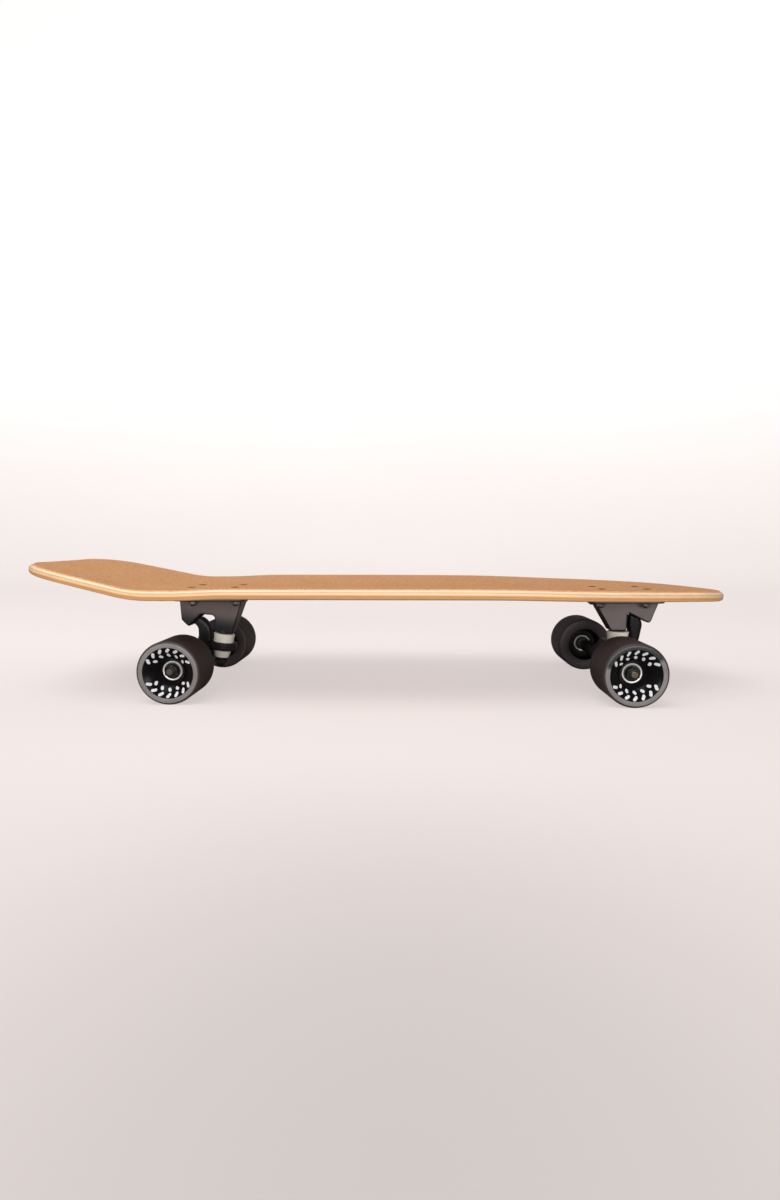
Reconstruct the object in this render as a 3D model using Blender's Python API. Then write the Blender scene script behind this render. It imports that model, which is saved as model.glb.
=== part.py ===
"""Surfskate: an 825 mm kicktail deck on two pivoting trucks with 70 mm wheels.

Metres, +Z up, +X towards the nose. The origin is on the floor under the middle of the deck.
Each truck is modelled in its own frame, whose +X runs inboard, towards the middle of the deck.
"""
import math

import bmesh
import bpy
from mathutils import Matrix, Vector

# Air between pieces that touch, the round of a casting's corners and the chamfer of its rims
GAP = 0.0003
CAST_ROUND = 0.0012
RIM_CHAMFER = 0.0009

# Deck
DECK_LENGTH = 0.8250
DECK_HALF_WIDTH = 0.1344
WOOD_THICKNESS = 0.0104
EDGE_ROUND = 0.0040
GRIP_THICKNESS = 0.0008
WIDEST_FROM_MIDDLE = -0.1243
NOSE_FULLNESS = 3.4
NOSE_BLEND = 0.060
TAIL_TAPER = 0.0305
TAIL_CORNER = 0.0666
FLAT_HALF_WIDTH = 0.0320
NOSE_DROP = 0.0025

# Raised rails: their height, how it grows from the flat middle, and how it eases off to the tail
CONCAVE = 0.0076
CONCAVE_POWER = 1.8
RAIL_EASE = 0.26
RAIL_EASE_LEAD = 0.0470
RAIL_EASE_RUN = 0.0640

# Kick: where it starts behind the rear mounting centre, the arc that it turns in, its final angle
KICK_START = 0.0377
KICK_RADIUS = 0.1700
KICK_ANGLE = math.radians(13.0)

# Length over which the deck settles from the rear truck's height to the front truck's
LEVEL_RUN = 0.1300

# Where the trucks sit under the deck
TAIL_OVERHANG = 0.2017
MOUNT_SPACING = 0.5014
BOLT_SPACING_X = 0.0538
BOLT_SPACING_Y = 0.0413

# Mounting bolts and nuts
BOLT_RADIUS = 0.0024
BOLT_HEAD_RADIUS = 0.0046
BOLT_HEAD_DEPTH = 0.0026
BOLT_STICK_OUT = 0.0012
BOLT_HOLE_CLEARANCE = 0.0004
MOUNT_NUT_FLATS = 0.0095
MOUNT_NUT_HEIGHT = 0.0045

# Baseplate flange, leg and pivot seat, the same on both trucks
FLANGE_LENGTH = 0.0910
FLANGE_WIDTH = 0.0560
FLANGE_THICKNESS = 0.0053
FLANGE_CORNER = 0.0090
SEAT_RADIUS = 0.0120
SEAT_HEIGHT = 0.0010
SEAT_ROOT = 0.0020
PIVOT_DEPTH = 0.0120
ROOF_ROUND = 0.0045
HEAD_WELL_CLEARANCE = 0.0010

# Kingpin and what is threaded on it
KINGPIN_RADIUS = 0.00475
KINGPIN_HOLE_CLEARANCE = 0.0004
KINGPIN_HEAD_FLATS = 0.0143
KINGPIN_HEAD_HEIGHT = 0.0060
KINGPIN_GRIP = 0.0180
KINGPIN_STICK_OUT = 0.0020
UPPER_BUSHING_HEIGHT = 0.0117
UPPER_BUSHING_TOP_RADIUS = 0.0134
UPPER_BUSHING_LOW_RADIUS = 0.0126
LOWER_BUSHING_HEIGHT = 0.0113
LOWER_BUSHING_TOP_RADIUS = 0.0120
LOWER_BUSHING_LOW_RADIUS = 0.0088
BUSHING_CHAMFER = 0.0008
WASHER_RADIUS = 0.0098
WASHER_THICKNESS = 0.0016
WASHER_LIP = 0.0010
KINGPIN_NUT_FLATS = 0.0143
KINGPIN_NUT_HEIGHT = 0.0075

# Hanger
RING_RADIUS = 0.0175
RING_THICKNESS = 0.0100
RING_BORE_RADIUS = 0.0078
RING_SEAT_DEPTH = 0.0012
RING_CHAMFER = 0.0015
HANGER_FACE = 0.0862
BEAM_MIDDLE_RADIUS = 0.0088
BEAM_END_RADIUS = 0.0074
BEAM_COLLAR = 0.0060
BEAM_SHOULDER = 0.0090
WEB_HALF_WIDTH = 0.0150
WEB_SINK = 0.0004
ARM_HALF_WIDTH = 0.0070
ARM_CHAMFER = 0.3
ARM_END_WALL = 0.0012
ARM_FACE_GAP = 0.0012
NOSE_PIN_RADIUS = 0.0048
NOSE_PIN_ROOT = 0.0020
NOSE_PIN_REACH = 0.0080
NOSE_PIN_DOME = 0.0030
CUP_WALL = 0.0026
CUP_FLOOR = 0.0025

# Axle, bearings and wheels
AXLE_RADIUS = 0.0039
AXLE_HALF_LENGTH = 0.1200
AXLE_NUT_FLATS = 0.0130
AXLE_NUT_HEIGHT = 0.0072
BEARING_RADIUS = 0.0110
BEARING_WIDTH = 0.0070
BEARING_SPACING = 0.0100
BEARING_BORE_RADIUS = 0.0064
RACE_RADIUS = 0.0059
SPACER_RADIUS = 0.0052
WASHER_STEP = 0.0007
WHEEL_RADIUS = 0.0350
WHEEL_WIDTH = 0.0530
TREAD_WIDTH = 0.0476
SHOULDER_DROP = 0.0005
SHOULDER_DEPTH = 0.0012
LIP_DROP = 0.0026
LIP_WIDTH = 0.0044
DISH_RADIUS = 0.0220
DISH_DEPTH = 0.0033
FACE_RIM_RADIUS = 0.0153
FACE_RIM_DEPTH = 0.0085
FACE_BORE_RADIUS = 0.0118
INNER_WALL_RADIUS = 0.0310
RECESS_RADIUS = 0.0214
RECESS_STEP = 0.0010
CORE_RADIUS = 0.0170
CORE_HALF_WIDTH = 0.0120
CORE_SHOULDER_RADIUS = 0.0092

# How each truck differs. Distances are from the mounting centre, +inboard, or from the ring centre.
TRUCKS = {
    "rear": {
        "ring_inboard": 0.0039,
        "ring_above_axle": 0.0100,
        "axle_inboard": -0.0195,
        "kingpin_tilt": math.radians(9.0),
        "steer_angle": math.radians(46.8),
        "pivot_reach": 0.0455,
        "face_drop": 0.0125,
        "roof_length": 0.0175,
        "roof_height": 0.0210,
        "flange_outboard": 0.0055,
        "wall_outboard": 0.0451,
        "heel_outboard": 0.0448,
        "heel_rise": 0.0091,
        "leg_outboard": 0.0118,
        "leg_inboard": 0.0120,
        "leg_top_inboard": 0.0343,
        "body_height": 0.0424,
        "body_half_width": 0.0155,
        "body_draft": 0.125,
        "arm_path": [(-0.0222, -0.004), (-0.0215, 0.011), (-0.0218, 0.0205), (-0.0250, 0.0275)],
        "arm_thickness": [0.0076, 0.0084, 0.0082, 0.0070],
    },
    "front": {
        "ring_inboard": -0.0006,
        "ring_above_axle": 0.0141,
        "axle_inboard": 0.0191,
        "kingpin_tilt": 0.0,
        "steer_angle": math.radians(63.0),
        "pivot_reach": 0.0396,
        "face_drop": 0.0184,
        "roof_length": 0.0,
        "roof_height": 0.0,
        "flange_outboard": 0.0034,
        "wall_outboard": 0.0466,
        "heel_outboard": 0.0376,
        "heel_rise": 0.0021,
        "leg_outboard": 0.0076,
        "leg_inboard": 0.0114,
        "leg_top_inboard": 0.0328,
        "body_height": 0.0366,
        "body_half_width": 0.0124,
        "body_draft": 0.045,
        "arm_path": [(-0.0150, -0.0005), (-0.0193, 0.0055), (-0.0206, 0.0165), (-0.0205, 0.0255)],
        "arm_thickness": [0.0042, 0.0052, 0.0066, 0.0076],
    },
}

# Sides of turned pieces
WHEEL_STEPS = 28
RING_STEPS = 18
PIN_STEPS = 12

# Points along the deck's outline and its rim, and rings across each raised rail
NOSE_STEPS = 16
TAIL_STEPS = 10
CORNER_STEPS = 7
RIM_STEPS = 2
RAIL_SHARES = (0.35, 0.7)

# Heights and places that follow from the sizes
UPPER_SEAT = RING_THICKNESS / 2 - RING_SEAT_DEPTH
LEG_SEAT = UPPER_SEAT + UPPER_BUSHING_HEIGHT + 2 * GAP
REAR_MOUNT_X = TAIL_OVERHANG - DECK_LENGTH / 2
FRONT_MOUNT_X = REAR_MOUNT_X + MOUNT_SPACING
BEARING_MIDDLE = HANGER_FACE + GAP + WASHER_STEP + BEARING_WIDTH + BEARING_SPACING / 2


def clear_scene():
    for item in list(bpy.data.objects):
        bpy.data.objects.remove(item, do_unlink=True)


def make_material(name, colour, roughness, metallic=0.0):
    material = bpy.data.materials.new(name)
    material.use_nodes = True
    shader = material.node_tree.nodes["Principled BSDF"]
    shader.inputs["Base Color"].default_value = (*colour, 1.0)
    shader.inputs["Roughness"].default_value = roughness
    shader.inputs["Metallic"].default_value = metallic
    return material


def make_materials():
    return {
        "wood": make_material("wood", (0.93, 0.74, 0.49), 0.45),
        "grip": make_material("grip", (0.50, 0.29, 0.15), 0.9),
        "casting": make_material("casting", (0.012, 0.011, 0.011), 0.38, 0.6),
        "bushing": make_material("bushing", (0.78, 0.70, 0.55), 0.5),
        "cup": make_material("cup", (0.03, 0.03, 0.03), 0.5),
        "steel": make_material("steel", (0.55, 0.55, 0.56), 0.3, 1.0),
        "black_steel": make_material("black_steel", (0.03, 0.03, 0.03), 0.4, 0.8),
        "tyre": make_material("tyre", (0.035, 0.026, 0.025), 0.45),
        "core": make_material("core", (0.012, 0.012, 0.012), 0.3),
        "shield": make_material("shield", (0.45, 0.45, 0.46), 0.35, 0.9),
    }


# Mesh helpers

def add_object(name, mesh_data, material, parent=None, place=None):
    bmesh.ops.recalc_face_normals(mesh_data, faces=mesh_data.faces)
    mesh = bpy.data.meshes.new(name)
    mesh_data.to_mesh(mesh)
    mesh_data.free()
    mesh.shade_smooth()
    mesh.set_sharp_from_angle(angle=math.radians(35))
    if material:
        mesh.materials.append(material)
    item = bpy.data.objects.new(name, mesh)
    bpy.context.scene.collection.objects.link(item)
    item.parent = parent
    if place:
        item.matrix_basis = place
    return item


def add_frame(name, place, parent=None):
    frame = bpy.data.objects.new(name, None)
    frame.empty_display_size = 0.02
    bpy.context.scene.collection.objects.link(frame)
    frame.parent = parent
    frame.matrix_basis = place
    return frame


def combine(target, other, operation):
    """Join or cut with a helper object, which stays out of the model."""
    other.hide_render = True
    other.display_type = "WIRE"
    modifier = target.modifiers.new(other.name, "BOOLEAN")
    modifier.operation = operation
    modifier.solver = "EXACT"
    modifier.object = other


def along(direction, origin=(0.0, 0.0, 0.0)):
    """The placement that lays local Z along a direction."""
    turn = Vector(direction).to_track_quat("Z", "Y")
    return Matrix.Translation(Vector(origin)) @ turn.to_matrix().to_4x4()


def turned(profile, steps):
    """A closed profile of (radius, height) points, spun about Z."""
    data = bmesh.new()
    points = [data.verts.new((radius, 0.0, height)) for radius, height in profile]
    edges = [data.edges.new((a, b)) for a, b in zip(points, points[1:] + points[:1])]
    bmesh.ops.spin(data, geom=points + edges, axis=(0, 0, 1), cent=(0, 0, 0),
                   angle=math.tau, steps=steps, use_merge=True)
    bmesh.ops.remove_doubles(data, verts=data.verts, dist=1e-6)
    loose = [edge for edge in data.edges if not edge.link_faces]
    bmesh.ops.delete(data, geom=loose, context="EDGES")
    return data


def rod_profile(radius, low, high, chamfer=0.0004):
    return [
        (0.0, low),
        (radius - chamfer, low),
        (radius, low + chamfer),
        (radius, high - chamfer),
        (radius - chamfer, high),
        (0.0, high),
    ]


def rounded(corners, radii, steps=2):
    """Round the corners of a flat outline, each by its own radius."""
    outline = []
    count = len(corners)
    for index, radius in enumerate(radii):
        corner = Vector(corners[index])
        if radius <= 0.0:
            outline.append(corner)
            continue
        before = (Vector(corners[index - 1]) - corner).normalized()
        after = (Vector(corners[(index + 1) % count]) - corner).normalized()
        half = before.angle(after) / 2
        centre = corner + (before + after).normalized() * radius / math.sin(half)
        first = corner + before * radius / math.tan(half) - centre
        last = corner + after * radius / math.tan(half) - centre
        for step in range(steps + 1):
            blend = first.lerp(last, step / steps)
            outline.append(centre + blend.normalized() * radius)
    return outline


def add_band(data, lower, upper):
    """A closed band of faces between two loops of equal length."""
    for index, start in enumerate(lower):
        after = (index + 1) % len(lower)
        data.faces.new((start, lower[after], upper[after], upper[index]))


def prism(outline, lift, low, high):
    """A flat outline swept from low to high. lift places an outline point at a depth."""
    data = bmesh.new()
    bottom = [data.verts.new(lift(point, low)) for point in outline]
    top = [data.verts.new(lift(point, high)) for point in outline]
    data.faces.new(bottom)
    data.faces.new(top)
    add_band(data, bottom, top)
    return data


def plan_lift(point, depth):
    return (point[0], point[1], depth)


def hexagon(flats):
    radius = flats / math.sqrt(3)
    return [(radius * math.cos(math.radians(60 * k)), radius * math.sin(math.radians(60 * k))) for k in range(6)]


def add_hex_nut(name, flats, height, bore, material, parent, place):
    nut = add_object(name, prism(hexagon(flats), plan_lift, 0.0, height), material, parent, place)
    hole = turned(rod_profile(bore, -height, 2 * height), PIN_STEPS)
    combine(nut, add_object(name + "_hole", hole, None, parent, place), "DIFFERENCE")
    return nut


# Deck: outline, height and surfaces

def ring_height(size):
    """Height of the hanger's ring, where the kingpin and the steering axis cross."""
    return WHEEL_RADIUS + size["ring_above_axle"]


def truck_top(size):
    """Height of a truck's flange top above the floor."""
    return ring_height(size) + LEG_SEAT * math.cos(size["kingpin_tilt"]) + size["body_height"] + FLANGE_THICKNESS


def smooth_step(value):
    value = min(max(value, 0.0), 1.0)
    return value * value * (3 - 2 * value)


def deck_outline():
    """Plan points, from the nose tip round the +Y side to the tail and back."""
    nose_x = DECK_LENGTH / 2
    tail_x = -DECK_LENGTH / 2
    nose_run = nose_x - WIDEST_FROM_MIDDLE
    tail_run = WIDEST_FROM_MIDDLE - tail_x
    tail_slope = 2 * TAIL_TAPER * (tail_run - TAIL_CORNER) / tail_run ** 2
    corner_turn = math.atan(tail_slope)
    corner_x = tail_x + TAIL_CORNER * (1 - math.sin(corner_turn))
    side = []
    for step in range(NOSE_STEPS):
        run = math.cos(math.pi / 2 * step / NOSE_STEPS)
        width = DECK_HALF_WIDTH * math.sqrt(max(1 - run ** NOSE_FULLNESS, 0.0))
        side.append((WIDEST_FROM_MIDDLE + nose_run * run, width))
    for step in range(TAIL_STEPS + 1):
        run = step / TAIL_STEPS * (WIDEST_FROM_MIDDLE - corner_x) / tail_run
        side.append((WIDEST_FROM_MIDDLE - run * tail_run, DECK_HALF_WIDTH - TAIL_TAPER * run ** 2))
    corner_y = side[-1][1] - TAIL_CORNER * math.cos(corner_turn)
    for step in range(1, CORNER_STEPS + 1):
        angle = math.pi / 2 + corner_turn + (math.pi / 2 - corner_turn) * step / CORNER_STEPS
        side.append((tail_x + TAIL_CORNER * (1 + math.cos(angle)), corner_y + TAIL_CORNER * math.sin(angle)))
    side.append((tail_x, corner_y / 2))
    side.append((tail_x, 0.0))
    mirrored = [(x, -y) for x, y in reversed(side[1:-1])]
    return [Vector(point) for point in side + mirrored]


def inset_outline(outline, distance):
    """Move each point inwards along the outline's normal."""
    count = len(outline)
    moved = []
    for index, point in enumerate(outline):
        tangent = (outline[(index + 1) % count] - outline[index - 1]).normalized()
        inward = Vector((-tangent.y, tangent.x))
        moved.append(point + inward * distance)
    return moved


def kick_slope(x):
    """Angle of the deck at x: none ahead of the kick, then an arc up to the kick's own angle."""
    behind = (REAR_MOUNT_X - KICK_START) - x
    if behind <= 0.0:
        return 0.0
    return min(math.asin(min(behind / KICK_RADIUS, 1.0)), KICK_ANGLE)


def kick_height(x):
    behind = (REAR_MOUNT_X - KICK_START) - x
    angle = kick_slope(x)
    arc_run = KICK_RADIUS * math.sin(angle)
    arc_rise = KICK_RADIUS * (1 - math.cos(angle))
    return arc_rise + max(behind - arc_run, 0.0) * math.tan(KICK_ANGLE)


def underside(x, y):
    """Height of the deck's underside: truck tops, kick, nose drop and raised rails."""
    rear = truck_top(TRUCKS["rear"]) + GAP
    front = truck_top(TRUCKS["front"]) + GAP
    front_edge = FRONT_MOUNT_X - FLANGE_LENGTH / 2
    level = rear + (front - rear) * smooth_step((x - front_edge) / LEVEL_RUN + 1)
    nose_start = FRONT_MOUNT_X + TRUCKS["front"]["flange_outboard"] + FLANGE_LENGTH / 2
    nose_run = max(x - nose_start, 0.0) / (DECK_LENGTH / 2 - nose_start)
    side = max(abs(y) - FLAT_HALF_WIDTH, 0.0) / (DECK_HALF_WIDTH - FLAT_HALF_WIDTH)
    ease = 1 - RAIL_EASE * smooth_step((REAR_MOUNT_X + RAIL_EASE_LEAD - x) / RAIL_EASE_RUN)
    rail = CONCAVE * ease * side ** CONCAVE_POWER
    return level + kick_height(x) - NOSE_DROP * nose_run ** 2 + rail


def deck_point(point, lift):
    """A plan point, raised by lift square to the deck's slope. The middle ply keeps the outline."""
    angle = kick_slope(point[0])
    shift = (lift - WOOD_THICKNESS / 2) * math.sin(angle)
    return (point[0] + shift, point[1], underside(*point) + lift * math.cos(angle))


def spine_point(point):
    """The point on the centreline that an outline point draws in to."""
    nose_limit = DECK_LENGTH / 2 - NOSE_BLEND
    tail_limit = -DECK_LENGTH / 2 + DECK_HALF_WIDTH - TAIL_TAPER
    return Vector((min(max(point[0], tail_limit), nose_limit), 0.0))


def sheet_rings(outline, lift):
    """Rings of one face of the sheet, from the centreline out, short of the rim."""
    flat_share = FLAT_HALF_WIDTH / DECK_HALF_WIDTH
    shares = [0.0, flat_share] + [flat_share + (1 - flat_share) * share for share in RAIL_SHARES]
    return [[deck_point(spine_point(point).lerp(point, share), lift) for point in outline] for share in shares]


def layered_sheet(rim, low, high):
    """A closed sheet: underside rings, rim rings given as (inset, lift), then top rings."""
    outline = deck_outline()
    rings = sheet_rings(inset_outline(outline, rim[0][0]), low)
    for inset, lift in rim:
        rings.append([deck_point(point, lift) for point in inset_outline(outline, inset)])
    rings += reversed(sheet_rings(inset_outline(outline, rim[-1][0]), high))
    data = bmesh.new()
    loops = [[data.verts.new(point) for point in ring] for ring in rings]
    for lower, upper in zip(loops, loops[1:]):
        add_band(data, lower, upper)
    bmesh.ops.remove_doubles(data, verts=data.verts, dist=1e-6)
    bmesh.ops.dissolve_degenerate(data, dist=1e-7, edges=data.edges)
    return data


def round_rim():
    """Rim of the wood: a quarter round below, a straight stretch and a quarter round above."""
    rim = []
    for step in range(RIM_STEPS + 1):
        angle = math.pi / 2 * step / RIM_STEPS
        rim.append((EDGE_ROUND * (1 - math.sin(angle)), EDGE_ROUND * (1 - math.cos(angle))))
    return rim + [(inset, WOOD_THICKNESS - lift) for inset, lift in reversed(rim)]


def mount_places():
    """Mounting holes in plan, with the truck and corner that each belongs to."""
    places = []
    for truck, centre in (("rear", REAR_MOUNT_X), ("front", FRONT_MOUNT_X)):
        for end, x_side in (("tail", -1), ("nose", 1)):
            for side, y_side in (("right", -1), ("left", 1)):
                place = (centre + x_side * BOLT_SPACING_X / 2, y_side * BOLT_SPACING_Y / 2)
                places.append((f"{truck}_{end}_{side}", truck, place))
    return places


def grip_top(truck):
    """Height of the grip's top over a truck, which the bolt heads are flush with."""
    return truck_top(TRUCKS[truck]) + GAP + WOOD_THICKNESS + GAP + GRIP_THICKNESS


def bolt_profile(truck):
    """A countersunk bolt from below its nut up to its flush head."""
    top = grip_top(truck) - GAP
    end = truck_top(TRUCKS[truck]) - FLANGE_THICKNESS - GAP - MOUNT_NUT_HEIGHT - BOLT_STICK_OUT
    neck = top - BOLT_HEAD_DEPTH
    return [(0.0, end), (BOLT_RADIUS, end), (BOLT_RADIUS, neck), (BOLT_HEAD_RADIUS, top), (0.0, top)]


def bolt_hole_profile(truck):
    """The countersunk hole through grip and deck, open at both ends."""
    top = grip_top(truck)
    low = truck_top(TRUCKS[truck]) - GAP
    hole = BOLT_RADIUS + BOLT_HOLE_CLEARANCE
    head = BOLT_HEAD_RADIUS + BOLT_HOLE_CLEARANCE
    neck = top - GAP - BOLT_HEAD_DEPTH
    above = top + BOLT_HEAD_DEPTH
    return [(0.0, low), (hole, low), (hole, neck), (head, top - GAP), (head, above), (0.0, above)]


def build_deck(materials):
    top = WOOD_THICKNESS + GAP
    wood = layered_sheet(round_rim(), 0.0, WOOD_THICKNESS)
    deck = add_object("deck", wood, materials["wood"])
    sheet = layered_sheet([(EDGE_ROUND, top), (EDGE_ROUND, top + GRIP_THICKNESS)], top, top + GRIP_THICKNESS)
    grip = add_object("grip_sheet", sheet, materials["grip"])
    for name, truck, (x, y) in mount_places():
        place = Matrix.Translation((x, y, 0.0))
        drill = turned(bolt_hole_profile(truck), PIN_STEPS)
        cutter = add_object(name + "_drill", drill, None, None, place)
        combine(deck, cutter, "DIFFERENCE")
        combine(grip, cutter, "DIFFERENCE")


def build_mount_hardware(materials):
    for name, truck, (x, y) in mount_places():
        bolt = turned(bolt_profile(truck), PIN_STEPS)
        add_object(name + "_bolt", bolt, materials["black_steel"], None, Matrix.Translation((x, y, 0.0)))
        nut_top = truck_top(TRUCKS[truck]) - FLANGE_THICKNESS - GAP
        nut_place = Matrix.Translation((x, y, nut_top - MOUNT_NUT_HEIGHT))
        add_hex_nut(name + "_nut", MOUNT_NUT_FLATS, MOUNT_NUT_HEIGHT, BOLT_RADIUS + GAP,
                    materials["steel"], None, nut_place)


# Truck geometry, in the truck's own side view: x inboard, z up

def steer_direction(size):
    """From the ring centre out and up to the pivot."""
    return Vector((-math.cos(size["steer_angle"]), math.sin(size["steer_angle"])))


def pivot_face_centre(size):
    ring = Vector((size["ring_inboard"], ring_height(size)))
    return ring + steer_direction(size) * size["pivot_reach"]


def kingpin_direction(size):
    return Vector((math.sin(size["kingpin_tilt"]), math.cos(size["kingpin_tilt"])))


def face_direction(size):
    """Down along the pivot face, square to the steering axis."""
    steer = steer_direction(size)
    return Vector((-steer.y, steer.x))


def body_corners(size):
    """Corners of the baseplate body, from the outboard top round the claw and the leg, and their rounds."""
    face = pivot_face_centre(size)
    down_face = face_direction(size)
    tip = face + down_face * size["face_drop"]
    heel = Vector((-size["heel_outboard"], tip.y + size["heel_rise"]))
    pin = kingpin_direction(size)
    across = Vector((pin.y, -pin.x))
    seat = Vector((size["ring_inboard"], ring_height(size))) + pin * (LEG_SEAT + SEAT_HEIGHT)
    leg_out = seat - across * size["leg_outboard"]
    leg_in = seat + across * size["leg_inboard"]
    roof = leg_out + pin * size["roof_height"]
    notch_x = roof.x - size["roof_length"]
    notch = face + down_face * (notch_x - face.x) / down_face.x
    top = truck_top(size) - FLANGE_THICKNESS / 2
    corners = [Vector((-size["wall_outboard"], top)), heel, tip, notch]
    rounds = [0.0, CAST_ROUND, CAST_ROUND, CAST_ROUND]
    if size["roof_length"] > 0.0:
        corners.append(roof)
        rounds.append(ROOF_ROUND)
    corners += [leg_out, leg_in, Vector((size["leg_top_inboard"], top))]
    rounds += [CAST_ROUND, CAST_ROUND, 0.0]
    return corners, rounds


def body_form(size):
    """The body's side outline, swept across between chamfered sides that draw in towards the floor."""
    corners, rounds = body_corners(size)
    outline = rounded(corners, rounds)
    side_outline = inset_outline(outline, RIM_CHAMFER)
    top = truck_top(size)
    data = bmesh.new()
    loops = []
    for line, chamfer, side in ((side_outline, 0.0, -1), (outline, RIM_CHAMFER, -1),
                                (outline, RIM_CHAMFER, 1), (side_outline, 0.0, 1)):
        loop = []
        for x, z in line:
            half_width = size["body_half_width"] - size["body_draft"] * (top - z) - chamfer
            loop.append(data.verts.new((x, side * half_width, z)))
        loops.append(loop)
    for lower, upper in zip(loops, loops[1:]):
        add_band(data, lower, upper)
    data.faces.new(loops[0])
    data.faces.new(loops[-1])
    return data


def build_baseplate(truck, size, materials, frame):
    top = truck_top(size)
    half_x = FLANGE_LENGTH / 2
    half_y = FLANGE_WIDTH / 2
    outer, inner = -half_x - size["flange_outboard"], half_x - size["flange_outboard"]
    plan = rounded([(outer, -half_y), (inner, -half_y), (inner, half_y), (outer, half_y)], [FLANGE_CORNER] * 4)
    flange = prism(plan, plan_lift, top - FLANGE_THICKNESS, top)
    plate = add_object(truck + "_baseplate", flange, materials["casting"], frame)
    combine(plate, add_object(truck + "_body_form", body_form(size), None, frame), "UNION")
    pin = kingpin_direction(size)
    ring_place = along((pin.x, 0, pin.y), (size["ring_inboard"], 0, ring_height(size)))
    seat = turned(rod_profile(SEAT_RADIUS, LEG_SEAT, LEG_SEAT + SEAT_HEIGHT + SEAT_ROOT), RING_STEPS)
    combine(plate, add_object(truck + "_seat_form", seat, None, frame, ring_place), "UNION")
    head_floor = LEG_SEAT + KINGPIN_GRIP
    well_radius = KINGPIN_HEAD_FLATS / math.sqrt(3) + HEAD_WELL_CLEARANCE
    hole_radius = KINGPIN_RADIUS + KINGPIN_HOLE_CLEARANCE
    well_top = head_floor + size["body_height"] + FLANGE_THICKNESS
    well = turned([(0.0, 0.0), (hole_radius, 0.0), (hole_radius, head_floor), (well_radius, head_floor),
                   (well_radius, well_top), (0.0, well_top)], RING_STEPS)
    combine(plate, add_object(truck + "_kingpin_well", well, None, frame, ring_place), "DIFFERENCE")
    steer = steer_direction(size)
    face = pivot_face_centre(size)
    cup_place = along((steer.x, 0, steer.y), (face.x, 0, face.y))
    socket = turned(rod_profile(cup_outer_radius() + GAP, -PIVOT_DEPTH / 3, PIVOT_DEPTH), RING_STEPS)
    combine(plate, add_object(truck + "_pivot_socket", socket, None, frame, cup_place), "DIFFERENCE")
    for name, owner, (x, y) in mount_places():
        if owner == truck:
            drill = turned(rod_profile(BOLT_RADIUS + BOLT_HOLE_CLEARANCE, top - 2 * FLANGE_THICKNESS,
                                       top + FLANGE_THICKNESS), PIN_STEPS)
            cutter = add_object(name + "_flange_drill", drill, None, None, Matrix.Translation((x, y, 0.0)))
            combine(plate, cutter, "DIFFERENCE")
    build_pivot_cup(truck, materials, frame, cup_place)


def cup_outer_radius():
    return NOSE_PIN_RADIUS + GAP + CUP_WALL


def build_pivot_cup(truck, materials, frame, place):
    bore = NOSE_PIN_RADIUS + GAP
    depth = PIVOT_DEPTH - GAP
    profile = [
        (bore, 0.0),
        (cup_outer_radius(), 0.0),
        (cup_outer_radius(), depth),
        (0.0, depth),
        (0.0, depth - CUP_FLOOR),
        (bore, depth - CUP_FLOOR),
    ]
    add_object(truck + "_pivot_cup", turned(profile, RING_STEPS), materials["cup"], frame, place)


def build_kingpin_stack(truck, size, materials, frame):
    """Kingpin, bushings, washer and nut, all on the kingpin's axis through the ring centre."""
    pin = kingpin_direction(size)
    place = along((pin.x, 0, pin.y), (size["ring_inboard"], 0, ring_height(size)))
    bore = KINGPIN_RADIUS + GAP
    low_bushing_top = -UPPER_SEAT - GAP
    low_bushing_end = low_bushing_top - LOWER_BUSHING_HEIGHT
    washer_top = low_bushing_end - GAP
    nut_top = washer_top - WASHER_THICKNESS - GAP
    nut_end = nut_top - KINGPIN_NUT_HEIGHT
    head_low = LEG_SEAT + KINGPIN_GRIP + GAP
    shaft = turned(rod_profile(KINGPIN_RADIUS, nut_end - KINGPIN_STICK_OUT, head_low + KINGPIN_HEAD_HEIGHT / 2),
                   PIN_STEPS)
    kingpin = add_object(truck + "_kingpin", shaft, materials["black_steel"], frame, place)
    head = prism(hexagon(KINGPIN_HEAD_FLATS), plan_lift, head_low, head_low + KINGPIN_HEAD_HEIGHT)
    combine(kingpin, add_object(truck + "_kingpin_head", head, None, frame, place), "UNION")
    add_turned_ring(truck + "_upper_bushing", bore, UPPER_SEAT + GAP, UPPER_SEAT + GAP + UPPER_BUSHING_HEIGHT,
                    UPPER_BUSHING_LOW_RADIUS, UPPER_BUSHING_TOP_RADIUS, materials["bushing"], frame, place)
    add_turned_ring(truck + "_lower_bushing", bore, low_bushing_end, low_bushing_top,
                    LOWER_BUSHING_LOW_RADIUS, LOWER_BUSHING_TOP_RADIUS, materials["bushing"], frame, place)
    lip = WASHER_RADIUS - WASHER_THICKNESS
    washer = turned([(bore, washer_top - WASHER_THICKNESS), (lip, washer_top - WASHER_THICKNESS),
                     (WASHER_RADIUS, washer_top), (WASHER_RADIUS, washer_top + WASHER_LIP),
                     (LOWER_BUSHING_LOW_RADIUS + GAP, washer_top + WASHER_LIP),
                     (LOWER_BUSHING_LOW_RADIUS + GAP, washer_top), (bore, washer_top)], RING_STEPS)
    add_object(truck + "_lower_washer", washer, materials["black_steel"], frame, place)
    nut_place = place @ Matrix.Translation((0, 0, nut_end))
    add_hex_nut(truck + "_kingpin_nut", KINGPIN_NUT_FLATS, KINGPIN_NUT_HEIGHT, bore,
                materials["black_steel"], frame, nut_place)


def add_turned_ring(name, bore, low, high, low_radius, high_radius, material, parent, place):
    """A bushing: a tapered ring with small chamfers at both rims."""
    profile = [
        (bore, low),
        (low_radius - BUSHING_CHAMFER, low),
        (low_radius, low + BUSHING_CHAMFER),
        (high_radius, high - BUSHING_CHAMFER),
        (high_radius - BUSHING_CHAMFER, high),
        (bore, high),
    ]
    add_object(name, turned(profile, RING_STEPS), material, parent, place)


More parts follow.
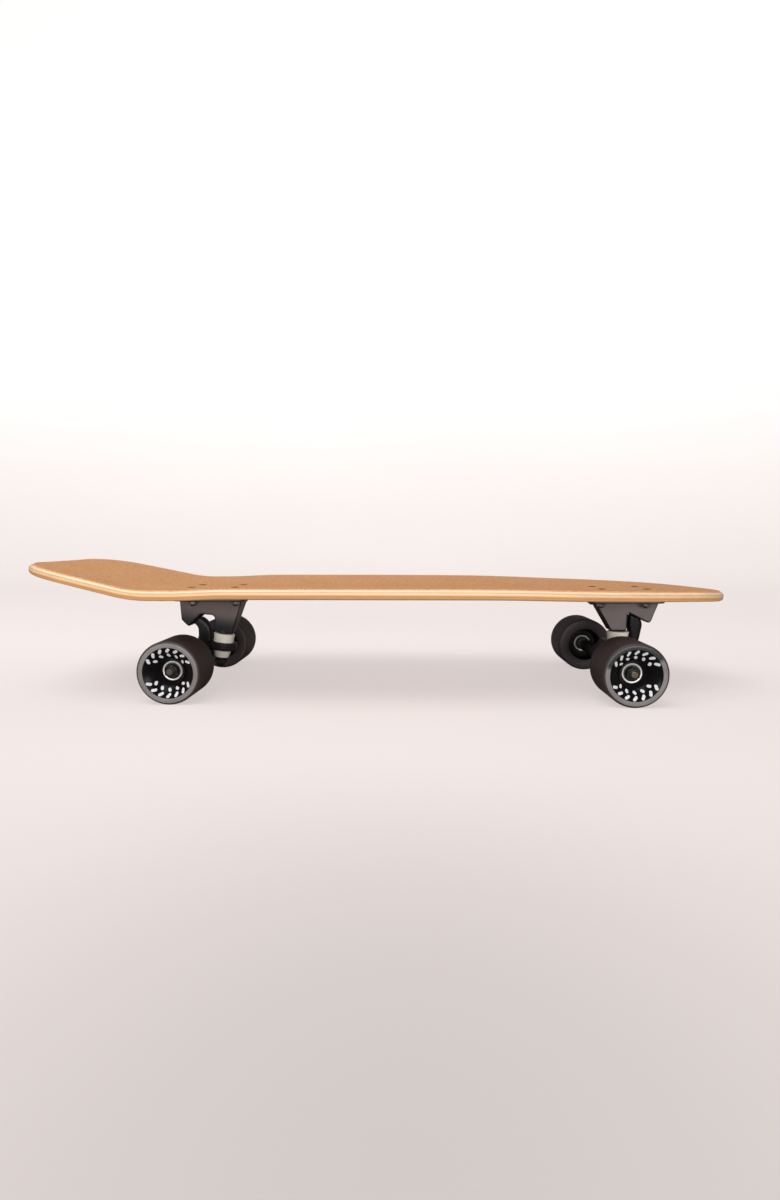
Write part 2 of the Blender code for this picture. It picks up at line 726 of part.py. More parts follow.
def beam_web(size):
    """The plate between beam and ring: the hull of a beam section and the near side of the ring."""
    axle = size["axle_inboard"] - size["ring_inboard"]
    side = math.copysign(1.0, axle)
    half = RING_THICKNESS / 2
    inner = (RING_BORE_RADIUS + RING_RADIUS) / 2
    outline = [(side * inner, half), (side * inner, -half), (side * RING_RADIUS, half)]
    for step in range(PIN_STEPS):
        angle = math.tau * step / PIN_STEPS
        outline.append((axle + (BEAM_MIDDLE_RADIUS - WEB_SINK) * math.cos(angle),
                        (BEAM_MIDDLE_RADIUS - WEB_SINK) * math.sin(angle) - size["ring_above_axle"]))
    data = bmesh.new()
    for x, z in outline:
        for y in (-WEB_HALF_WIDTH, WEB_HALF_WIDTH):
            data.verts.new((x, y, z))
    hull = bmesh.ops.convex_hull(data, input=data.verts)
    inside = [item for item in hull["geom_interior"] if isinstance(item, bmesh.types.BMVert)]
    bmesh.ops.delete(data, geom=inside, context="VERTS")
    return data


def arm_bar(size):
    """The pivot arm: chamfered sections along its path, ending square to the pivot face."""
    steer = steer_direction(size)
    face = pivot_face_centre(size) - Vector((size["ring_inboard"], ring_height(size)))
    path = [Vector(point) for point in size["arm_path"]] + [face - steer * ARM_FACE_GAP]
    thickness = size["arm_thickness"] + [NOSE_PIN_RADIUS + ARM_END_WALL]
    data = bmesh.new()
    loops = []
    for index, (point, half) in enumerate(zip(path, thickness)):
        if index == len(path) - 1:
            tangent = steer
        else:
            tangent = (path[index + 1] - path[max(index - 1, 0)]).normalized()
        across = Vector((tangent.y, -tangent.x))
        cut = ARM_CHAMFER * half
        width = ARM_HALF_WIDTH
        section = [(half, width - cut), (half - cut, width), (cut - half, width), (-half, width - cut)]
        section += [(-a, -b) for a, b in section]
        loop = []
        for offset, depth in section:
            place = point + across * offset
            loop.append(data.verts.new((place.x, depth, place.y)))
        loops.append(loop)
    for lower, upper in zip(loops, loops[1:]):
        add_band(data, lower, upper)
    data.faces.new(loops[0])
    data.faces.new(loops[-1])
    return data


def nose_profile():
    """The pivot nose, from inside the arm's end out to its domed tip. Its depth 0 is the pivot face."""
    base = -ARM_FACE_GAP - NOSE_PIN_ROOT
    return [
        (0.0, base),
        (NOSE_PIN_RADIUS, base),
        (NOSE_PIN_RADIUS, NOSE_PIN_REACH - NOSE_PIN_DOME),
        (NOSE_PIN_RADIUS - NOSE_PIN_DOME / 2, NOSE_PIN_REACH - NOSE_PIN_DOME / 3),
        (NOSE_PIN_RADIUS - NOSE_PIN_DOME, NOSE_PIN_REACH),
        (0.0, NOSE_PIN_REACH),
    ]


def beam_profile():
    """The axle beam: thickest under the web, with a straight collar at each end."""
    outer = HANGER_FACE - BEAM_COLLAR
    middle = WEB_HALF_WIDTH + BEAM_SHOULDER
    return [
        (0.0, -HANGER_FACE),
        (BEAM_END_RADIUS, -HANGER_FACE),
        (BEAM_END_RADIUS, -outer),
        (BEAM_MIDDLE_RADIUS, -middle),
        (BEAM_MIDDLE_RADIUS, middle),
        (BEAM_END_RADIUS, outer),
        (BEAM_END_RADIUS, HANGER_FACE),
        (0.0, HANGER_FACE),
    ]


def ring_bore_profile():
    """The ring's bore, with a shallow seat for a bushing on each side."""
    half = RING_THICKNESS / 2
    low_seat = LOWER_BUSHING_TOP_RADIUS + 2 * GAP
    high_seat = UPPER_BUSHING_LOW_RADIUS + 2 * GAP
    return [
        (0.0, -2 * half),
        (low_seat, -2 * half),
        (low_seat, -UPPER_SEAT),
        (RING_BORE_RADIUS, -UPPER_SEAT),
        (RING_BORE_RADIUS, UPPER_SEAT),
        (high_seat, UPPER_SEAT),
        (high_seat, 2 * half),
        (0.0, 2 * half),
    ]


def build_hanger(truck, size, materials, steering):
    """The hanger casting, about the ring centre."""
    pin = kingpin_direction(size)
    pin_place = along((pin.x, 0, pin.y))
    axle = (size["axle_inboard"] - size["ring_inboard"], 0.0, -size["ring_above_axle"])
    beam_place = along((0, 1, 0), axle)
    steer = steer_direction(size)
    face = steer * size["pivot_reach"]
    nose_place = along((steer.x, 0, steer.y), (face.x, 0, face.y))
    half = RING_THICKNESS / 2
    hanger = add_object(truck + "_hanger", turned(beam_profile(), RING_STEPS), materials["casting"],
                        steering, beam_place)
    combine(hanger, add_object(truck + "_web_form", beam_web(size), None, steering), "UNION")
    ring = turned(rod_profile(RING_RADIUS, -half, half, RING_CHAMFER), RING_STEPS)
    combine(hanger, add_object(truck + "_ring_form", ring, None, steering, pin_place), "UNION")
    combine(hanger, add_object(truck + "_arm_form", arm_bar(size), None, steering), "UNION")
    nose = turned(nose_profile(), RING_STEPS)
    combine(hanger, add_object(truck + "_nose_form", nose, None, steering, nose_place), "UNION")
    bore = turned(ring_bore_profile(), RING_STEPS)
    combine(hanger, add_object(truck + "_ring_bore", bore, None, steering, pin_place), "DIFFERENCE")
    axle_bore = turned(rod_profile(AXLE_RADIUS + GAP, -2 * HANGER_FACE, 2 * HANGER_FACE), PIN_STEPS)
    combine(hanger, add_object(truck + "_axle_bore", axle_bore, None, steering, beam_place), "DIFFERENCE")
    rod = turned(rod_profile(AXLE_RADIUS, -AXLE_HALF_LENGTH, AXLE_HALF_LENGTH), PIN_STEPS)
    add_object(truck + "_axle", rod, materials["steel"], steering, beam_place)


# Wheels, each about its own centre with +Z outboard

def tyre_profile():
    """The urethane: tread, flat lips, dished printed face, bearing recess, bore and inner recess."""
    half = WHEEL_WIDTH / 2
    tread = TREAD_WIDTH / 2
    shoulder = WHEEL_RADIUS - SHOULDER_DROP
    lip = WHEEL_RADIUS - LIP_DROP
    core_side = CORE_RADIUS + GAP
    core_end = CORE_HALF_WIDTH + GAP
    return [
        (core_side, core_end),
        (FACE_BORE_RADIUS, core_end),
        (FACE_RIM_RADIUS, half - FACE_RIM_DEPTH),
        (DISH_RADIUS, half - DISH_DEPTH),
        (lip - LIP_WIDTH, half),
        (lip, half),
        (shoulder, half - SHOULDER_DEPTH),
        (WHEEL_RADIUS, tread),
        (WHEEL_RADIUS, -tread),
        (shoulder, SHOULDER_DEPTH - half),
        (INNER_WALL_RADIUS, -half),
        (RECESS_RADIUS, RECESS_STEP - half),
        (core_side + RECESS_STEP, -core_end),
        (core_side, -core_end),
    ]


def core_profile():
    """The rigid hub: a bearing seat at each end and a shoulder between them."""
    seat = BEARING_RADIUS + GAP
    shoulder = BEARING_SPACING / 2 - GAP
    return [
        (seat, -CORE_HALF_WIDTH),
        (CORE_RADIUS, -CORE_HALF_WIDTH),
        (CORE_RADIUS, CORE_HALF_WIDTH),
        (seat, CORE_HALF_WIDTH),
        (seat, shoulder),
        (CORE_SHOULDER_RADIUS, shoulder),
        (CORE_SHOULDER_RADIUS, -shoulder),
        (seat, -shoulder),
    ]


def bearing_profile(low):
    """Outer race with its shields, one closed ring, from low to low + width."""
    high = low + BEARING_WIDTH
    return [(BEARING_BORE_RADIUS, low), (BEARING_RADIUS, low), (BEARING_RADIUS, high), (BEARING_BORE_RADIUS, high)]


def sleeve_profile():
    """Inner races, the spacer between them and the thin washers at both ends."""
    bore = AXLE_RADIUS + GAP
    near = BEARING_SPACING / 2
    far = near + BEARING_WIDTH + WASHER_STEP
    return [
        (bore, -far),
        (RACE_RADIUS, -far),
        (RACE_RADIUS, -near),
        (SPACER_RADIUS, -near),
        (SPACER_RADIUS, near),
        (RACE_RADIUS, near),
        (RACE_RADIUS, far),
        (bore, far),
    ]


def build_wheel(name, materials, steering, place):
    wheel = add_frame(name + "_wheel_axis", place, steering)
    near = BEARING_SPACING / 2
    add_object(name + "_tyre", turned(tyre_profile(), WHEEL_STEPS), materials["tyre"], wheel)
    add_object(name + "_core", turned(core_profile(), RING_STEPS), materials["core"], wheel)
    add_object(name + "_outer_bearing", turned(bearing_profile(near), RING_STEPS), materials["shield"], wheel)
    add_object(name + "_inner_bearing", turned(bearing_profile(-near - BEARING_WIDTH), RING_STEPS),
               materials["shield"], wheel)
    add_object(name + "_bearing_sleeve", turned(sleeve_profile(), PIN_STEPS), materials["steel"], steering, place)
    nut_low = near + BEARING_WIDTH + WASHER_STEP + GAP
    nut_place = place @ Matrix.Translation((0, 0, nut_low))
    add_hex_nut(name + "_axle_nut", AXLE_NUT_FLATS, AXLE_NUT_HEIGHT, AXLE_RADIUS + GAP, materials["steel"],
                steering, nut_place)


def build_truck(truck, materials):
    size = TRUCKS[truck]
    mount_x = REAR_MOUNT_X if truck == "rear" else FRONT_MOUNT_X
    turn = 0.0 if truck == "rear" else math.pi
    frame = add_frame(truck + "_truck", Matrix.Translation((mount_x, 0, 0)) @ Matrix.Rotation(turn, 4, "Z"))
    build_baseplate(truck, size, materials, frame)
    build_kingpin_stack(truck, size, materials, frame)
    ring_centre = Matrix.Translation((size["ring_inboard"], 0, ring_height(size)))
    steering = add_frame(truck + "_steering_axis", ring_centre, frame)
    build_hanger(truck, size, materials, steering)
    axle_x = size["axle_inboard"] - size["ring_inboard"]
    world_side = 1 if truck == "rear" else -1
    for side, y_side in (("left", world_side), ("right", -world_side)):
        centre = (axle_x, y_side * BEARING_MIDDLE, -size["ring_above_axle"])
        build_wheel(f"{truck}_{side}", materials, steering, along((0, y_side, 0), centre))


def main():
    clear_scene()
    materials = make_materials()
    build_deck(materials)
    build_mount_hardware(materials)
    for truck in TRUCKS:
        build_truck(truck, materials)


main()
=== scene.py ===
from math import acos, atan, copysign, cos, pi, radians, sin, sqrt, tan, tau

import bmesh
import bpy
import numpy as np
from mathutils import Matrix, Vector


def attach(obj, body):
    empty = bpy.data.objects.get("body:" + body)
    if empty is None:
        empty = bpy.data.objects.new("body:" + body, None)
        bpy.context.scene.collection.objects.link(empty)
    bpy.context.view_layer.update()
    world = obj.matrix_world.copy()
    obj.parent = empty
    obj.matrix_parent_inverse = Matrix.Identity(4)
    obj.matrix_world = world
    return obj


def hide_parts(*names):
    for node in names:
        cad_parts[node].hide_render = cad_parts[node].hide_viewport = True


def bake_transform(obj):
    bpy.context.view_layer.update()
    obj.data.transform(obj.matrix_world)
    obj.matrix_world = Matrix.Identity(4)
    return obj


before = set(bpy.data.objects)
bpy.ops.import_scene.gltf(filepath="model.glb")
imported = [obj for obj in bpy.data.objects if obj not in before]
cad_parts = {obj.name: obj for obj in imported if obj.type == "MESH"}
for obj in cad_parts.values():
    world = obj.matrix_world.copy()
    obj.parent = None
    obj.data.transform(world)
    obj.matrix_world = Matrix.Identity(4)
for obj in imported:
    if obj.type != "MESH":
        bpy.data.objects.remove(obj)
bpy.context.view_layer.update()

scene = bpy.context.scene
air = 0.0003    # what touching pieces keep between them


# Quads that join a grid of rows by columns of points, numbered row by row from start
def gridQuads(rows, columns, start=0):
    corner = (np.arange(rows - 1)[:, None] * columns + np.arange(columns - 1)[None, :]).ravel() + start
    return np.stack([corner, corner + 1, corner + columns + 1, corner + columns], axis=1)


# Merge doubles, turn faces outwards and shade: smooth, with creases where faces meet at a steeper angle
def closeMesh(mesh, crease=35, merge=2e-6):
    data = bmesh.new()
    data.from_mesh(mesh)
    bmesh.ops.remove_doubles(data, verts=data.verts, dist=merge)
    bmesh.ops.dissolve_degenerate(data, dist=1e-7, edges=data.edges)
    bmesh.ops.recalc_face_normals(data, faces=data.faces)
    data.to_mesh(mesh)
    data.free()
    mesh.shade_smooth()
    mesh.set_sharp_from_angle(angle=radians(crease))


# A mesh from several grids of points; maps give each grid's UVs, layers its material numbers by row
def gridMesh(grids, maps=None, layers=None, crease=35):
    quads, start = [], 0
    for grid in grids:
        quads.append(gridQuads(*grid.shape[:2], start))
        start += grid.shape[0] * grid.shape[1]
    mesh = bpy.data.meshes.new("shape")
    points = np.concatenate([grid.reshape(-1, 3) for grid in grids])
    mesh.from_pydata(points.tolist(), [], np.concatenate(quads).tolist())
    if maps is not None:
        corners = np.zeros(len(mesh.loops), np.int32)
        mesh.loops.foreach_get("vertex_index", corners)
        uvs = np.concatenate([uv.reshape(-1, 2) for uv in maps])
        layer = mesh.uv_layers.new(name="shapeMap")
        layer.data.foreach_set("uv", uvs[corners].astype(np.float32).ravel())
    if layers is not None:
        numbers = [np.repeat(np.asarray(layer)[:len(grid) - 1], grid.shape[1] - 1)
                   for layer, grid in zip(layers, grids)]
        mesh.polygons.foreach_set("material_index", np.concatenate(numbers).astype(np.int32))
    closeMesh(mesh, crease)
    return mesh


# A mesh from closed loops of points, one band between each two, with a flat face over the first and the last
def loopMesh(loops):
    loops = np.asarray(loops)
    count, length = loops.shape[:2]
    closed = np.concatenate([loops, loops[:, :1]], axis=1)
    mesh = bpy.data.meshes.new("shape")
    caps = [(np.arange(length) + row * (length + 1)).tolist() for row in (0, count - 1)]
    mesh.from_pydata(closed.reshape(-1, 3).tolist(), [], gridQuads(count, length + 1).tolist() + caps)
    closeMesh(mesh)
    return mesh


def addPiece(name, mesh, *finishes):
    mesh.name = name
    piece = bpy.data.objects.new(name, mesh)
    scene.collection.objects.link(piece)
    for finish in finishes:
        mesh.materials.append(finish)
    return piece


# A finished piece, with what it rides on, which solid it stands for and whose finish it has
def dress(name, mesh, finishes, body, node):
    piece = addPiece(name, mesh, *finishes)
    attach(piece, body)
    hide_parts(node)
    print("  made", piece.name, len(piece.data.polygons), "faces")


# A line of corners with each corner swung round in an arc of its own radius
def roundLine(corners, radii, steps=5, closed=True):
    corners = np.asarray(corners, float)
    radii = np.broadcast_to(np.asarray(radii, float), len(corners))
    line = []
    share = np.linspace(0, 1, steps + 1)[:, None]
    for index, radius in enumerate(radii):
        corner = corners[index]
        if radius <= 0 or (not closed and index in (0, len(corners) - 1)):
            line.append(corner[None])
            continue
        before = corners[index - 1] - corner
        after = corners[(index + 1) % len(corners)] - corner
        before, after = before / np.linalg.norm(before), after / np.linalg.norm(after)
        half = acos(np.clip(before @ after, -1, 1)) / 2
        middle = (before + after) / np.linalg.norm(before + after)
        centre = corner + middle * radius / sin(half)
        first = corner + before * radius / tan(half) - centre
        last = corner + after * radius / tan(half) - centre
        turn = first * (1 - share) + last * share
        line.append(centre + turn / np.linalg.norm(turn, axis=1, keepdims=True) * radius)
    return np.concatenate(line)


def fullTurn(steps):
    return np.linspace(0, tau, steps + 1)


# Rows of radii, one for each angle t, set about an axis: point = origin + radius (first cos t + second sin t)
# + axis height. The first direction is square to the axis, as near to +X as it can be.
def spin(radii, heights, origin, axis):
    axis = np.asarray(axis, float) / np.linalg.norm(axis)
    first = np.array([1.0, 0.0, 0.0]) - axis * axis[0]
    first /= np.linalg.norm(first)
    angle = fullTurn(radii.shape[1] - 1)
    ring = np.cos(angle)[:, None] * first + np.sin(angle)[:, None] * np.cross(axis, first)
    return radii[:, :, None] * ring + np.asarray(heights)[:, None, None] * axis + np.asarray(origin, float)


# A profile of (radius, height) turned about an axis. Its ends lie on the axis, or else they are joined.
def turnedMesh(profile, steps, origin, axis, crease=35, layers=None):
    profile = np.asarray(profile, float)
    if profile[0, 0] > 0 and (profile[0] != profile[-1]).any():
        profile = np.concatenate([profile, profile[:1]])
    radii = np.repeat(profile[:, :1], steps + 1, axis=1)
    uv = np.stack(np.broadcast_arrays(fullTurn(steps) / tau, radii), axis=2)
    return gridMesh([spin(radii, profile[:, 1], origin, axis)], [uv], layers and [layers], crease)


# How deep a thread is cut: a saw wave of height less a turn of the angle, eased in at both ends
def threadDepth(height, angle, low, high, pitch, depth):
    wave = np.abs(((height / pitch - angle / tau) % 1.0) * 2 - 1)
    ease = np.clip(np.minimum(height - low, high - height) / pitch, 0, 1)
    return depth * wave * ease


# A rod from low to high whose threaded stretches are given as (low, high); both ends are chamfered
def rodMesh(radius, low, high, threads, pitch, depth, origin, axis, steps=32, chamfer=0.0004):
    heights, scale = [low, low, low + chamfer], [0.0, 1 - chamfer / radius, 1.0]
    for start, end in threads:
        rows = np.linspace(max(start, low + chamfer), min(end, high - chamfer), int((end - start) / pitch * 6) + 2)
        heights += rows.tolist()
        scale += [1.0] * len(rows)
    heights = np.array(heights + [high - chamfer, high, high])
    scale = np.array(scale + [1.0, 1 - chamfer / radius, 0.0])
    cut = np.zeros((len(heights), steps + 1))
    for start, end in threads:
        inside = ((heights >= start) & (heights <= end))[:, None]
        cut += inside * threadDepth(heights[:, None], fullTurn(steps), start, end, pitch, depth)
    return gridMesh([spin(scale[:, None] * (radius - cut), heights, origin, axis)])


# A hexagon with both rims chamfered: at each height the lesser of the hexagon's radius and a cone's.
# A collar, the nylon ring of a lock nut, may stand on the upper face.
def nutMesh(flats, height, bore, origin, axis, collar=0.0):
    hexagon = flats / 2 / np.cos((fullTurn(72) + pi / 6) % (pi / 3) - pi / 6)
    face, slope, nutTop = flats / 2 * 0.96, tan(radians(32)), height - collar
    rise = np.linspace(0, (flats / sqrt(3) - face) * slope, 6)
    cone = np.stack([face + np.concatenate([rise, rise[::-1]]) / slope, np.concatenate([rise, nutTop - rise[::-1]])], 1)
    upper = [(bore + 0.0003, height)]
    if collar > 0:
        upper = roundLine([(face * 0.93, nutTop), (face * 0.9, height), (bore + 0.0004, height)],
                          [0, collar * 0.45, 0], 5, False)
    line = np.concatenate([[(bore, 0.0003), (bore + 0.0003, 0.0)], cone, upper,
                           [(bore, height - 0.0003), (bore, 0.0003)]])
    return gridMesh([spin(np.minimum(hexagon, line[:, :1]), line[:, 1], origin, axis)], crease=30)


# A round bolt head, countersunk, with a cross recess: top height falls where the point is inside either slot
def crossBoltMesh(top, end, origin):
    size, angle, share = boltSize, fullTurn(72), np.linspace(0, 1, 20)[:, None]
    radius, edge, reach = size["headRadius"] * share, size["slotEdge"], size["slotReach"]
    x, y = radius * np.cos(angle), radius * np.sin(angle)

    def inside(across, along):
        return (np.clip((size["slotWidth"] / 2 - np.abs(across)) / edge + 0.5, 0, 1)
                * np.clip((reach - np.abs(along)) / edge + 0.5, 0, 1))

    fall = size["slotDepth"] * np.maximum(inside(x, y), inside(y, x)) * (1 - 0.45 * radius / reach)
    rim = size["rimRound"] * np.clip((share - 0.9) / 0.1, 0, 1) ** 2
    head = np.stack([x, y, top - fall - rim], axis=2) + np.asarray(origin, float)
    neck = top - size["headDepth"]
    threadEnd = neck - size["smooth"]
    rows = np.linspace(end + 0.0003, neck, int((neck - end) / size["pitch"] * 4))[::-1]
    cut = threadDepth(rows[:, None], angle, end, threadEnd, size["pitch"], size["threadDepth"])
    cut *= (rows < threadEnd)[:, None]
    one = np.ones((1, len(angle)))
    radii = np.concatenate([one * size["headRadius"], size["radius"] - cut, one * (size["radius"] - 0.0003), one * 0])
    heights = [top - size["rimRound"], *rows, end, end]
    return gridMesh([head, spin(radii, heights, origin, (0, 0, 1))])


def joinMeshes(meshes):
    data = bmesh.new()
    for mesh in meshes:
        data.from_mesh(mesh)
    joined = bpy.data.meshes.new("shape")
    data.to_mesh(joined)
    data.free()
    return joined


def modify(piece, kind, **settings):
    step = piece.modifiers.new(kind.lower(), kind)
    for key, value in settings.items():
        setattr(step, key, value)


# Cut holes in a piece, keep its finished mesh and clear the helpers away
def cutHoles(piece, cutters):
    tool = addPiece("drill", joinMeshes(cutters))
    modify(piece, "BOOLEAN", operation="DIFFERENCE", solver="EXACT", object=tool)
    bpy.context.view_layer.update()
    mesh = bpy.data.meshes.new_from_object(piece.evaluated_get(bpy.context.evaluated_depsgraph_get()))
    for helper in (piece, tool):
        bpy.data.objects.remove(helper, do_unlink=True)
    mesh.materials.clear()
    mesh.shade_smooth()
    mesh.set_sharp_from_angle(angle=radians(35))
    return mesh


castSize = dict(voxel=0.0006, softening=5)


# Join closed shells into one skin, soften it as a casting is, then cut the drilled holes, which stay crisp
def castMesh(forms, cutters, keep):
    piece = addPiece("cast", joinMeshes(forms))
    modify(piece, "REMESH", mode="VOXEL", voxel_size=castSize["voxel"])
    modify(piece, "SMOOTH", factor=0.5, iterations=castSize["softening"])
    modify(piece, "DECIMATE", ratio=keep)
    return cutHoles(piece, cutters)


# Sizes that several pieces share
wheelSize = dict(radius=0.035, width=0.053, tread=0.0476, dish=0.022, dishDepth=0.0033, rim=0.0153, rimDepth=0.0085,
                 bore=0.0118, recess=0.0214, core=0.017, coreHalf=0.012, coreShoulder=0.0092, steps=144)
# Per truck, two entries set the baseplate's painted light: how far the painted shade at the leg's foot runs, and how
# much painted reflection the leg's inboard face gets
truckSize = {
    "rear": dict(mountX=-0.2108, inboard=1, ring=0.0039, above=0.01, axle=-0.0195, tilt=radians(9.0),
                 steer=radians(46.8), reach=0.0455, faceDrop=0.0125, roofLength=0.0175, roofHeight=0.021,
                 flangeOut=0.0055, wallOut=0.0451, heelOut=0.0448, heelRise=0.0091, legOut=0.0118, legIn=0.012,
                 legTop=0.0343, bodyHeight=0.0424, halfWidth=0.0155, draft=0.125, footShadeRun=0.028, legPaintedSheen=0.95,
                 armPath=[(-0.0222, -0.004), (-0.0215, 0.011), (-0.0218, 0.0205), (-0.025, 0.0275)],
                 armThickness=[0.0076, 0.0084, 0.0082, 0.007]),
    "front": dict(mountX=0.2906, inboard=-1, ring=-0.0006, above=0.0141, axle=0.0191, tilt=0.0, steer=radians(63.0),
                  reach=0.0396, faceDrop=0.0184, roofLength=0.0, roofHeight=0.0, flangeOut=0.0034, wallOut=0.0466,
                  heelOut=0.0376, heelRise=0.0021, legOut=0.0076, legIn=0.0114, legTop=0.0328, bodyHeight=0.0366,
                  halfWidth=0.0124, draft=0.045, footShadeRun=0.0025, legPaintedSheen=0.0,
                  armPath=[(-0.015, -0.0005), (-0.0193, 0.0055), (-0.0197, 0.017), (-0.0196, 0.0255)],
                  armThickness=[0.0042, 0.0052, 0.0075, 0.0085]),
}
ringSize = dict(radius=0.0175, thickness=0.01, bore=0.0078, seatDepth=0.0012, blendEnd=0.0053)
upperBushing = dict(height=0.0117, topRadius=0.0134, lowRadius=0.0126, round=0.0016, waist=0.0005)
lowerBushing = dict(height=0.0113, topRadius=0.012, lowRadius=0.0088, round=0.0014, waist=0.0003)
upperSeat = ringSize["thickness"] / 2 - ringSize["seatDepth"]
legSeat = upperSeat + upperBushing["height"] + 2 * air
kingpinSize = dict(radius=0.00475, headFlats=0.0143, headHeight=0.006, grip=0.018, stickOut=0.002, pitch=0.00106,
                   threadDepth=0.0005, nutHeight=0.0075, collar=0.0022, rockRoom=0.0017, holeRoom=0.0004,
                   wellRoom=0.001, headBore=0.003)
flangeSize = dict(length=0.091, width=0.056, thickness=0.0053, corner=0.009, edge=0.0009)
seatSize = dict(radius=0.0101, height=0.001, root=0.002)
bodySize = dict(edge=0.0018, turn=0.0022)
axleSize = dict(radius=0.0039, half=0.12, threadStart=0.11, pitch=0.00106, threadDepth=0.0005, hole=0.0042,
                wheelPlace=0.0992)
axleNut = dict(flats=0.013, height=0.0072, collar=0.0022)
bearingSize = dict(radius=0.011, width=0.007, place=0.005, sleeveHalf=0.0127, sleeveRadius=0.0059,
                   spacerRadius=0.0052)


def truckTop(truck):
    size = truckSize[truck]
    return (wheelSize["radius"] + size["above"] + legSeat * cos(size["tilt"]) + size["bodyHeight"]
            + flangeSize["thickness"])


# Board: outline, height and sheet, by the same rules as the solid
board = dict(length=0.8248, halfWidth=0.1344, wood=0.0104, edge=0.004, grip=0.0008, widest=-0.1243, noseFullness=3.4,
             noseBlend=0.06, tailTaper=0.0305, tailCorner=0.0666, flat=0.032, noseDrop=0.0025, concave=0.0076,
             concavePower=1.8, railEase=0.26, easeLead=0.047, easeRun=0.064, kickStart=0.0377, kickRadius=0.17,
             kickAngle=radians(13.0), levelRun=0.13, noseSteps=90, tailSteps=36, cornerSteps=24, rings=22)


def easeStep(value):
    value = np.clip(value, 0.0, 1.0)
    return value * value * (3 - 2 * value)


# Half the plan from nose tip to tail middle, then its mirror: a superellipse nose, a parabola taper, a round corner
def boardOutline():
    noseRun = board["length"] / 2 - board["widest"]
    tailX = -board["length"] / 2
    tailRun = board["widest"] - tailX
    corner = board["tailCorner"]
    turn = atan(2 * board["tailTaper"] * (tailRun - corner) / tailRun ** 2)
    cornerX = tailX + corner * (1 - sin(turn))
    share = np.cos(np.linspace(0, pi / 2, board["noseSteps"], endpoint=False))
    nose = np.stack([board["widest"] + noseRun * share,
                     board["halfWidth"] * np.sqrt(np.maximum(1 - share ** board["noseFullness"], 0))], 1)
    run = np.linspace(0, (board["widest"] - cornerX) / tailRun, board["tailSteps"] + 1)
    tail = np.stack([board["widest"] - run * tailRun, board["halfWidth"] - board["tailTaper"] * run ** 2], 1)
    cornerY = tail[-1, 1] - corner * cos(turn)
    angle = np.linspace(pi / 2 + turn, pi, board["cornerSteps"] + 1)[1:]
    bend = np.stack([tailX + corner * (1 + np.cos(angle)), cornerY + corner * np.sin(angle)], 1)
    end = np.stack([np.full(8, tailX), np.linspace(cornerY, 0, 9)[1:]], 1)
    side = np.concatenate([nose, tail, bend, end])
    return np.concatenate([side, (side * [1, -1])[-2:0:-1]])


def insetLine(line, distance):
    tangent = np.roll(line, -1, axis=0) - np.roll(line, 1, axis=0)
    tangent /= np.linalg.norm(tangent, axis=1, keepdims=True)
    return line + np.stack([-tangent[:, 1], tangent[:, 0]], 1) * distance


def kickSlope(x):
    behind = np.maximum(truckSize["rear"]["mountX"] - board["kickStart"] - x, 0)
    return np.minimum(np.arcsin(np.minimum(behind / board["kickRadius"], 1)), board["kickAngle"])


# Height of the underside: level with each truck, an arc and a slope up at the kick, a drop at the nose, raised rails
def underside(x, y):
    angle = kickSlope(x)
    behind = np.maximum(truckSize["rear"]["mountX"] - board["kickStart"] - x, 0)
    rise = board["kickRadius"] * (1 - np.cos(angle))
    rise = rise + np.maximum(behind - board["kickRadius"] * np.sin(angle), 0) * tan(board["kickAngle"])
    rear, front = truckTop("rear") + air, truckTop("front") + air
    frontX, half = truckSize["front"]["mountX"], flangeSize["length"] / 2
    level = rear + (front - rear) * easeStep((x - frontX + half) / board["levelRun"] + 1)
    noseStart = frontX + half + truckSize["front"]["flangeOut"]
    noseRun = np.maximum(x - noseStart, 0) / (board["length"] / 2 - noseStart)
    side = np.maximum(np.abs(y) - board["flat"], 0) / (board["halfWidth"] - board["flat"])
    ease = 1 - board["railEase"] * easeStep((truckSize["rear"]["mountX"] + board["easeLead"] - x) / board["easeRun"])
    return level + rise - board["noseDrop"] * noseRun ** 2 + board["concave"] * ease * side ** board["concavePower"]


def boardPoints(plan, lift):
    angle = kickSlope(plan[:, 0])
    x = plan[:, 0] + (lift - board["wood"] / 2) * np.sin(angle)
    return np.stack([x, plan[:, 1], underside(plan[:, 0], plan[:, 1]) + lift * np.cos(angle)], 1)


# Rings from the centreline out to an inset outline, at one lift through the sheet
def boardRings(outline, lift):
    spineX = np.clip(outline[:, 0], -board["length"] / 2 + board["halfWidth"] - board["tailTaper"],
                     board["length"] / 2 - board["noseBlend"])
    spine = np.stack([spineX, np.zeros(len(outline))], 1)
    shares = np.linspace(0, 1, board["rings"] + 1)[:-1]
    return [boardPoints(spine + (outline - spine) * share, lift) for share in shares]


# A closed sheet between two lifts whose rim is a line of (inset, lift). Its map gives length round the rim and lift.
def sheetMesh(rim, low, high):
    outline = boardOutline()
    step = np.linalg.norm(np.roll(outline, -1, axis=0) - outline, axis=1)
    around = np.concatenate([[0], np.cumsum(step)])
    rings = boardRings(insetLine(outline, rim[0][0]), low)
    lifts = [low] * len(rings)
    for inset, lift in rim:
        rings.append(boardPoints(insetLine(outline, inset), lift))
        lifts.append(lift)
    rings += boardRings(insetLine(outline, rim[-1][0]), high)[::-1]
    lifts += [high] * board["rings"]
    grid = np.array(rings)
    grid = np.concatenate([grid, grid[:, :1]], axis=1)
    uv = np.stack(np.broadcast_arrays(around[None, :], np.array(lifts)[:, None]), axis=2)
    return gridMesh([grid], [uv], None, 40)


def roundRim(thickness, edge, steps=6):
    angle = np.linspace(0, pi / 2, steps + 1)
    lower = np.stack([edge * (1 - np.sin(angle)), edge * (1 - np.cos(angle))], 1)
    upper = (lower * [1, -1] + [0, thickness])[::-1]
    return np.concatenate([lower, upper])


